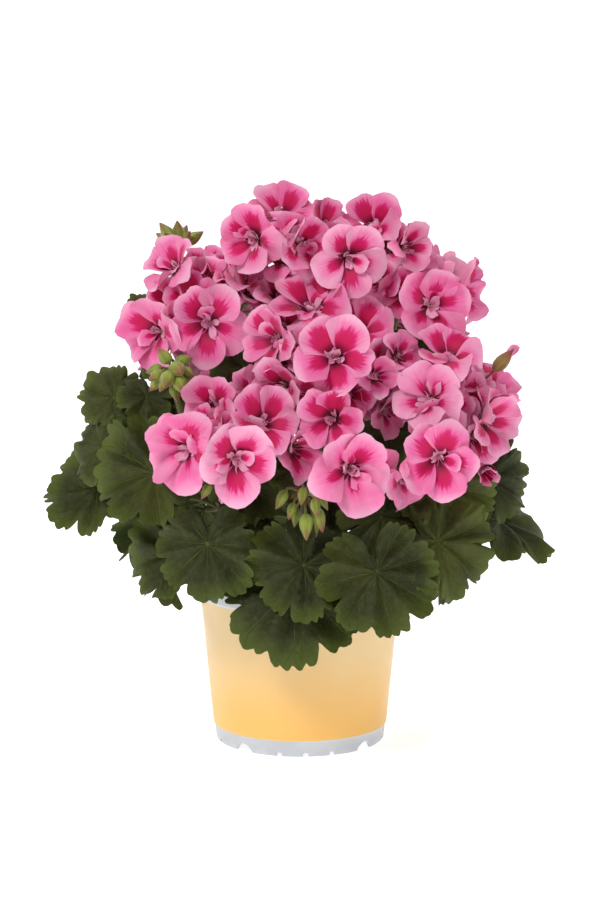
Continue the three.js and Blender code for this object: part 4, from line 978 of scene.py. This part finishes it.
# Stem rows: name, foot, top, lean, leaf rows, then a row for each head or cluster that the stem bears.
# Leaf rows: x, y, z of the middle, azimuth, elevation, roll, radius, then dish, fold and droop, which are
# LEAF_BEND where a row leaves them out. Rows of what is borne: hub, its lean, half its length, the
# direction in which its stalk leaves the stem, and how far up the stem that is
LEAF_BEND = [0.05, 0.08, 0.15]
STEM_TABLE = [
    ["front", [2, -27], [0, -48, 124], [0, 40], [
        [-3, -79, 105, 0, 18, 0, 44, 0, 0.06, 0.1], [2, -93, 119, -10, 14, -38, 31, 0.02, 0.08, 0.12],
        [16, -56, 150, 4, 20, 8, 26, 0.05, 0.08, 0.1], [-6, -66, 166, 4, 24, 0, 14, 0.05, 0.08, 0.1],
    ], [
        [[2, -90, 158], [0, 45], 2.6, [0, 25], 0.88], [[29, -58, 174], [15, 50], 3.6, [40, 60], 0.97],
    ]],
    ["front_left", [-20, -18], [-36, -42, 132], [-40, 45], [
        [-70, -52, 117, -30, 28, -75, 30, 0.05, 0.12, 0.15],
        [-50, -85, 129, -12, 12, 0, 31.5, 0.05, 0.05, 0.1],
        [-30, -50, 157, -10, 25, -10, 24, 0.05, 0.05, 0.1],
        [-25, -46, 127, -5, 18, 0, 17, 0.05, 0.05, 0.1], [-31, -14, 216, -10, 30, 0, 22, 0.05, 0.08, 0.1],
    ], [
        [[-41, -84, 167], [-10, 40], 2.6, [-20, 35], 0.85],
        [[-37, -57, 182], [-20, 55], 3.6, [-30, 60], 0.97],
    ]],
    ["left", [-31, 0], [-60, -8, 158], [-90, 50], [
        [-72, 14, 108, -85, 15, 0, 34], [-80, 1, 150, -74, 20, 0, 27],
        [-115, -8, 147, -25, 32, -80, 32, 0.05, 0.12, 0.15],
        [-80, -56, 163, -15, 30, -75, 35, 0.1, 0.1, 0.1],
        [-110, -24, 171, -35, 20, -70, 23, 0.05, 0.25, 0.2],
        [-90, -41, 178, -10, 40, -60, 11, 0.1, 0.1, 0], [-92, 24, 186, -100, 35, 0, 26],
        [-80, 16, 221, -95, 45, 0, 20], [-86, -24, 201, 0, 35, -20, 17, 0.05, 0.08, 0.1],
        [-105, -14, 199, -15, 30, -110, 21.5, 0.08, 0.15, 0.1],
        [-90, -2, 246, -30, 30, -100, 12, 0.05, 0.1, 0.1],
        [-66, -22, 200, -20, 30, 0, 16, 0.05, 0.1, 0.1],
    ], [
        [[-70, -60, 219], [-10, 55], 2.6, [-20, 60], 0.85],
        [[-54, 2, 241], [-80, 65], 3.6, [20, 80], 0.93],
        [[-69, 17, 281], [-80, 85], 2.6, [-150, 70], 0.98],
    ]],
    ["back_left", [-20, 20], [-40, 36, 150], [-140, 50], [
        [-57, 80, 118, -148, 15, 0, 34], [-88, 42, 122, -118, 15, 0, 33],
        [-70, 72, 152, -135, 25, 0, 27], [-94, 50, 155, -114, 25, 0, 27],
        [-32, 62, 170, -160, 45, 0, 24],
    ], [
        [[-46, 48, 220], [-140, 65], 3.6, [-140, 50], 0.9],
    ]],
    ["back", [0, 30], [0, 56, 132], [180, 45], [
        [0, 96, 110, 180, 12, 0, 36], [-26, 72, 146, -165, 30, 0, 24],
        [30, 72, 148, 165, 30, 0, 24],
    ], [
        [[2, 77, 174], [174, 48], 3.6, [180, 45], 0.9],
    ]],
    ["back_right", [20, 20], [40, 36, 150], [140, 50], [
        [57, 80, 118, 148, 15, 0, 34], [88, 46, 122, 118, 15, 0, 33],
        [70, 72, 154, 135, 25, 0, 27], [90, 52, 164, 118, 25, 0, 26],
        [34, 62, 172, 160, 45, 0, 24],
    ], [
        [[50, 50, 218], [140, 65], 3.6, [140, 50], 0.9],
    ]],
    ["right", [31, 0], [62, -4, 155], [90, 50], [
        [78, 12, 108, 85, 15, 0, 34], [112, -24, 131, 40, 50, 62, 37, 0, 0.25, 0.3],
        [100, 10, 152, 80, 25, 0, 24], [80, 25, 186, 105, 40, 0, 24],
        [105, -40, 158, 35, 20, 60, 28, 0.1, 0.1, 0.1], [110, -8, 195, 50, 25, 60, 20, 0.05, 0.1, 0.1],
        [61, -8, 226, 10, 30, 0, 18, 0.05, 0.08, 0.1],
    ], [
        [[58, 8, 251], [80, 70], 3.6, [170, 80], 0.97],
    ]],
    ["front_right", [24, -20], [46, -40, 134], [45, 45], [
        [41, -101, 117, 10, 14, 12, 36, 0.05, 0.06, 0.12],
        [75, -78, 129, 24, 24, 58, 34, 0.05, 0.12, 0.12], [78, -62, 156, 15, 22, 30, 30, 0, 0.3, 0.2],
        [44, -70, 141, 8, 24, 0, 26, 0.05, 0.08, 0.1], [50, -44, 184, 10, 20, 0, 18, 0.05, 0.08, 0.1],
    ], [
        [[80, -40, 197], [60, 50], 3.6, [45, 45], 0.97],
    ]],
    ["centre", [0, 1], [2, -4, 165], [0, 80], [
        [30, 18, 202, 120, 50, 0, 24], [-20, 26, 198, -145, 50, 0, 24],
        [28, -20, 182, 50, 45, 0, 21], [-11, 14, 254, 0, 35, 0, 17, 0.05, 0.08, 0.1],
    ], [
        [[14, -36, 215], [10, 55], 3.6, [10, 55], 0.88], [[-4, -2, 250], [0, 85], 3.6, [0, 80], 0.97],
    ]],
]

# Head rows: name, hub, lean, how red its stalks are, seed, florets, florets for its gaps, closed buds.
# Floret rows: x, y, z of the throat, azimuth, elevation, roll, petal length, petaloids, how far it is closed
HEAD_TABLE = [
    ["top", [-4, -2, 250], [0, 85], 0.85, 100, [
        [-24, -26, 289, -24, 6, 18, 20, 2, 0.12], [-10, -5, 299, -5, 48, 0, 18.5, 0, 0.1],
        [-1, -42, 287, 26, 6, 15, 18, 0, 0.2], [26, -46, 281, 8, -4, 0, 20, 2, 0],
        [12, -15, 294, 38, 38, 0, 14, 0, 0.15], [-19, 25, 284, -140, 35, 0, 17, 0, 0],
        [9, 30, 286, 160, 25, 0, 17, 0, 0],
    ]],
    ["upper_right", [58, 8, 251], [80, 70], 0.35, 120, [
        [41, -5, 293, -14, 34, 0, 17.5, 0, 0.1], [57, -22, 284, 35, 18, 0, 15.5, 0, 0.3],
        [68, 0, 272, 55, 50, 0, 15, 0, 0], [88, -8, 259, 72, 10, 0, 17, 0, 0],
        [71, -43, 254, 8, 6, 26, 20, 2, 0], [46, -25, 264, -28, 30, 0, 14, 0, 0.25],
        [57, 38, 272, 175, 40, 0, 16, 0, 0], [84, 30, 257, 130, 25, 0, 16, 0, 0],
    ]],
    ["upper_left", [-54, 2, 241], [-80, 65], 0.35, 140, [
        [-50, -41, 244, -4, 4, 0, 21, 2, 0], [-77, -27, 238, -38, 2, 20, 19.5, 0, 0],
        [-68, -10, 270, -48, 44, 0, 17.5, 0, 0.15], [-52, 10, 269, 5, 68, 0, 13.5, 0, 0],
        [-34, -15, 265, 42, 38, 10, 16, 0, 0.25], [-13, -24, 256, 24, 40, 0, 14.5, 0, 0.25],
    ]],
    ["centre", [14, -36, 215], [10, 55], 0.35, 160, [
        [6, -51, 251, -5, 56, 0, 21, 2, 0], [32, -48, 239, 18, 50, 0, 17.5, 0, 0.1],
        [19, -86, 230, -4, 22, 10, 20.5, 3, 0], [-11, -64, 237, -40, 14, 0, 18, 0, 0.1],
        [-8, -75, 214, -28, 0, 0, 15, 0, 0.2], [18, -93, 199, -14, 0, 15, 17, 2, 0.12],
        [39, -76, 219, 22, 20, 0, 13.5, 0, 0.4], [52, -62, 228, 38, 24, 0, 12, 0, 0],
        [45, -66, 200, 40, -10, 0, 14.5, 0, 0.2],
    ], [[-8, -38, 240, -15, 22, 0, 15, 0, 0.1]]],
    ["lower_left", [-37, -57, 182], [-20, 55], 0.35, 180, [
        [-34, -110, 180, 4, 0, 0, 20, 2, 0], [-59, -90, 182, -32, 0, 10, 21, 2, 0],
        [-20, -90, 195, 16, 28, 0, 18, 0, 0.08], [-45, -73, 201.5, -22, 24, 0, 16, 0, 0.12],
        [-26, -63, 204.5, 12, 44, 0, 14.5, 0, 0], [-5, -84, 181, 30, -4, 0, 17, 0, 0.5],
    ]],
    ["lower_front", [29, -58, 174], [15, 50], 0.35, 200, [
        [26, -108, 174, 10, 6, 0, 22, 2, 0.08], [53, -82, 167, 52, -4, 0, 16, 0, 0],
    ]],
    ["lower_right", [80, -40, 197], [60, 50], 0.35, 220, [
        [74, -93, 178, 4, -4, 12, 20, 2, 0], [71, -79, 206, -20, 26, 0, 19, 0, 0.1],
        [80, -63, 226, 10, 58, 0, 17.5, 0, 0], [98, -69, 194, 48, 4, 0, 19, 0, 0.25],
        [105, -40, 205, 48, 62, 0, 16, 0, 0], [98, -73, 169, 22, -14, 0, 11, 0, 0.9],
    ], [], [[106, -52, 219, 80, 47, 19]]],
]

# Round heads at the back: name, hub, lean, number of florets, reach, seed
ROUND_TABLE = [
    ["back_left", [-46, 48, 220], [-140, 65], 6, 33, 240],
    ["back_right", [50, 50, 218], [140, 65], 6, 33, 260],
    ["back_low", [2, 77, 174], [174, 48], 5, 32, 281],
]

# Cluster rows: name, hub, lean, way it faces, number of buds, how far they spread, reach, bud length,
# droop, plumpness, how many are open, seed
CLUSTER_TABLE = [
    ["top_left", [-69, 17, 281], [-80, 85], [0, 88], 8, 66, 4, 12, 0, 0.29, 0, 300],
    ["left", [-70, -60, 219], [-10, 55], [-8, 25], 12, 100, 6, 11.5, 0.75, 0.33, 0, 320],
    ["front", [2.4, -90.2, 158.2], [0, 45], [4, -30], 10, 80, 12, 12.5, 1.6, 0.25, 0, 340],
    ["lower_left", [-41, -84, 167], [-10, 40], [-10, -35], 5, 62, 9, 9, 0.8, 0.25, 1, 360],
]


def spread_florets(hub, lean, count, reach, seed):
    """Floret rows over a dome round the hub."""
    axes = facing_axes(lean[0], lean[1] - 15)
    rows = []
    for k in range(count):
        out = dome(axes, k, math.radians(80 * math.sqrt((k + 0.1) / (count - 0.5))))
        rows.append([*(vec(*hub) + out * reach), *bearing(out), 36 * k, 17 + 2.5 * draw(seed, k), 0, 0])
    return rows


pot()
soil()
for number, row in enumerate(STEM_TABLE):
    leafy_stem(number, *row)
for row in HEAD_TABLE:
    flower_head(*row)
for name, hub, lean, count, reach, seed in ROUND_TABLE:
    flower_head(name, hub, lean, STALK_RED, seed, spread_florets(hub, lean, count, reach, seed))
for row in CLUSTER_TABLE:
    bud_cluster(*row)

CAD_MATERIALS = {"pot": pot_material, "soil": soil_material, "leafy": leaf_material}
CAD_MATERIALS.update({"flower": petal_material, "bud": bud_material})
for name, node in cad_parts.items():
    node.data.materials.clear()
    node.data.materials.append(CAD_MATERIALS[name.split("_")[0]])

# Studio: a white sweep, soft light from the front and above, and the camera at the photo's angle


def sweep():
    """White floor that curves up into a backdrop."""
    angle = np.linspace(0, math.pi / 2, 24)
    y = np.concatenate([[-16.0], 2.0 + 1.2 * np.sin(angle), [3.2]])
    z = np.concatenate([[0.0], 1.2 - 1.2 * np.cos(angle), [9.0]])
    points = [(side * 6.0, *p) for p in zip(y, z) for side in (-1, 1)]
    faces = [(2 * i, 2 * i + 1, 2 * i + 3, 2 * i + 2) for i in range(len(y) - 1)]
    mesh = bpy.data.meshes.new("sweep")
    mesh.from_pydata(points, [], faces)
    mesh.shade_smooth()
    white = Nodes("sweep")
    white.set(white.shader.inputs["Emission Color"], (1, 1, 1, 1))
    white.set(white.shader.inputs["Emission Strength"], 0.56)
    mesh.materials.append(white.finish((0.93, 0.93, 0.93, 1), 0.9))
    floor = show("sweep", mesh)


def area_light(name, place, size, watts):
    light = bpy.data.lights.new(name, "AREA")
    light.shape = "DISK"
    light.size = size
    light.energy = watts
    aim = show(name + "_aim", None)
    aim.location = (0, 0, 0.17)
    lamp = show(name, light)
    lamp.location = place
    track = lamp.constraints.new("TRACK_TO")
    track.target = aim
    track.track_axis = "TRACK_NEGATIVE_Z"
    track.up_axis = "UP_Y"


sweep()
area_light("key", (-0.9, -1.3, 1.6), 0.7, 22)
area_light("fill", (1.4, -1.4, 0.7), 1.0, 4)
area_light("top", (0.2, 0.5, 1.9), 1.0, 11)

world = bpy.data.worlds.new("studio")
world.use_nodes = True
world.node_tree.nodes["Background"].inputs["Color"].default_value = (1, 1, 1, 1)
world.node_tree.nodes["Background"].inputs["Strength"].default_value = 0.31
bpy.context.scene.world = world
bpy.context.scene.view_settings.view_transform = "Standard"

lens = bpy.data.cameras.new("camera")
lens.lens = 105.26
lens.sensor_width = 36
lens.clip_end = 20
camera = show("camera", lens)
tilt = math.radians(9)
camera.location = (0, -1.5 * math.cos(tilt), 0.167 + 1.5 * math.sin(tilt))
camera.rotation_euler = (math.pi / 2 - tilt, 0, 0)
bpy.context.scene.camera = camera
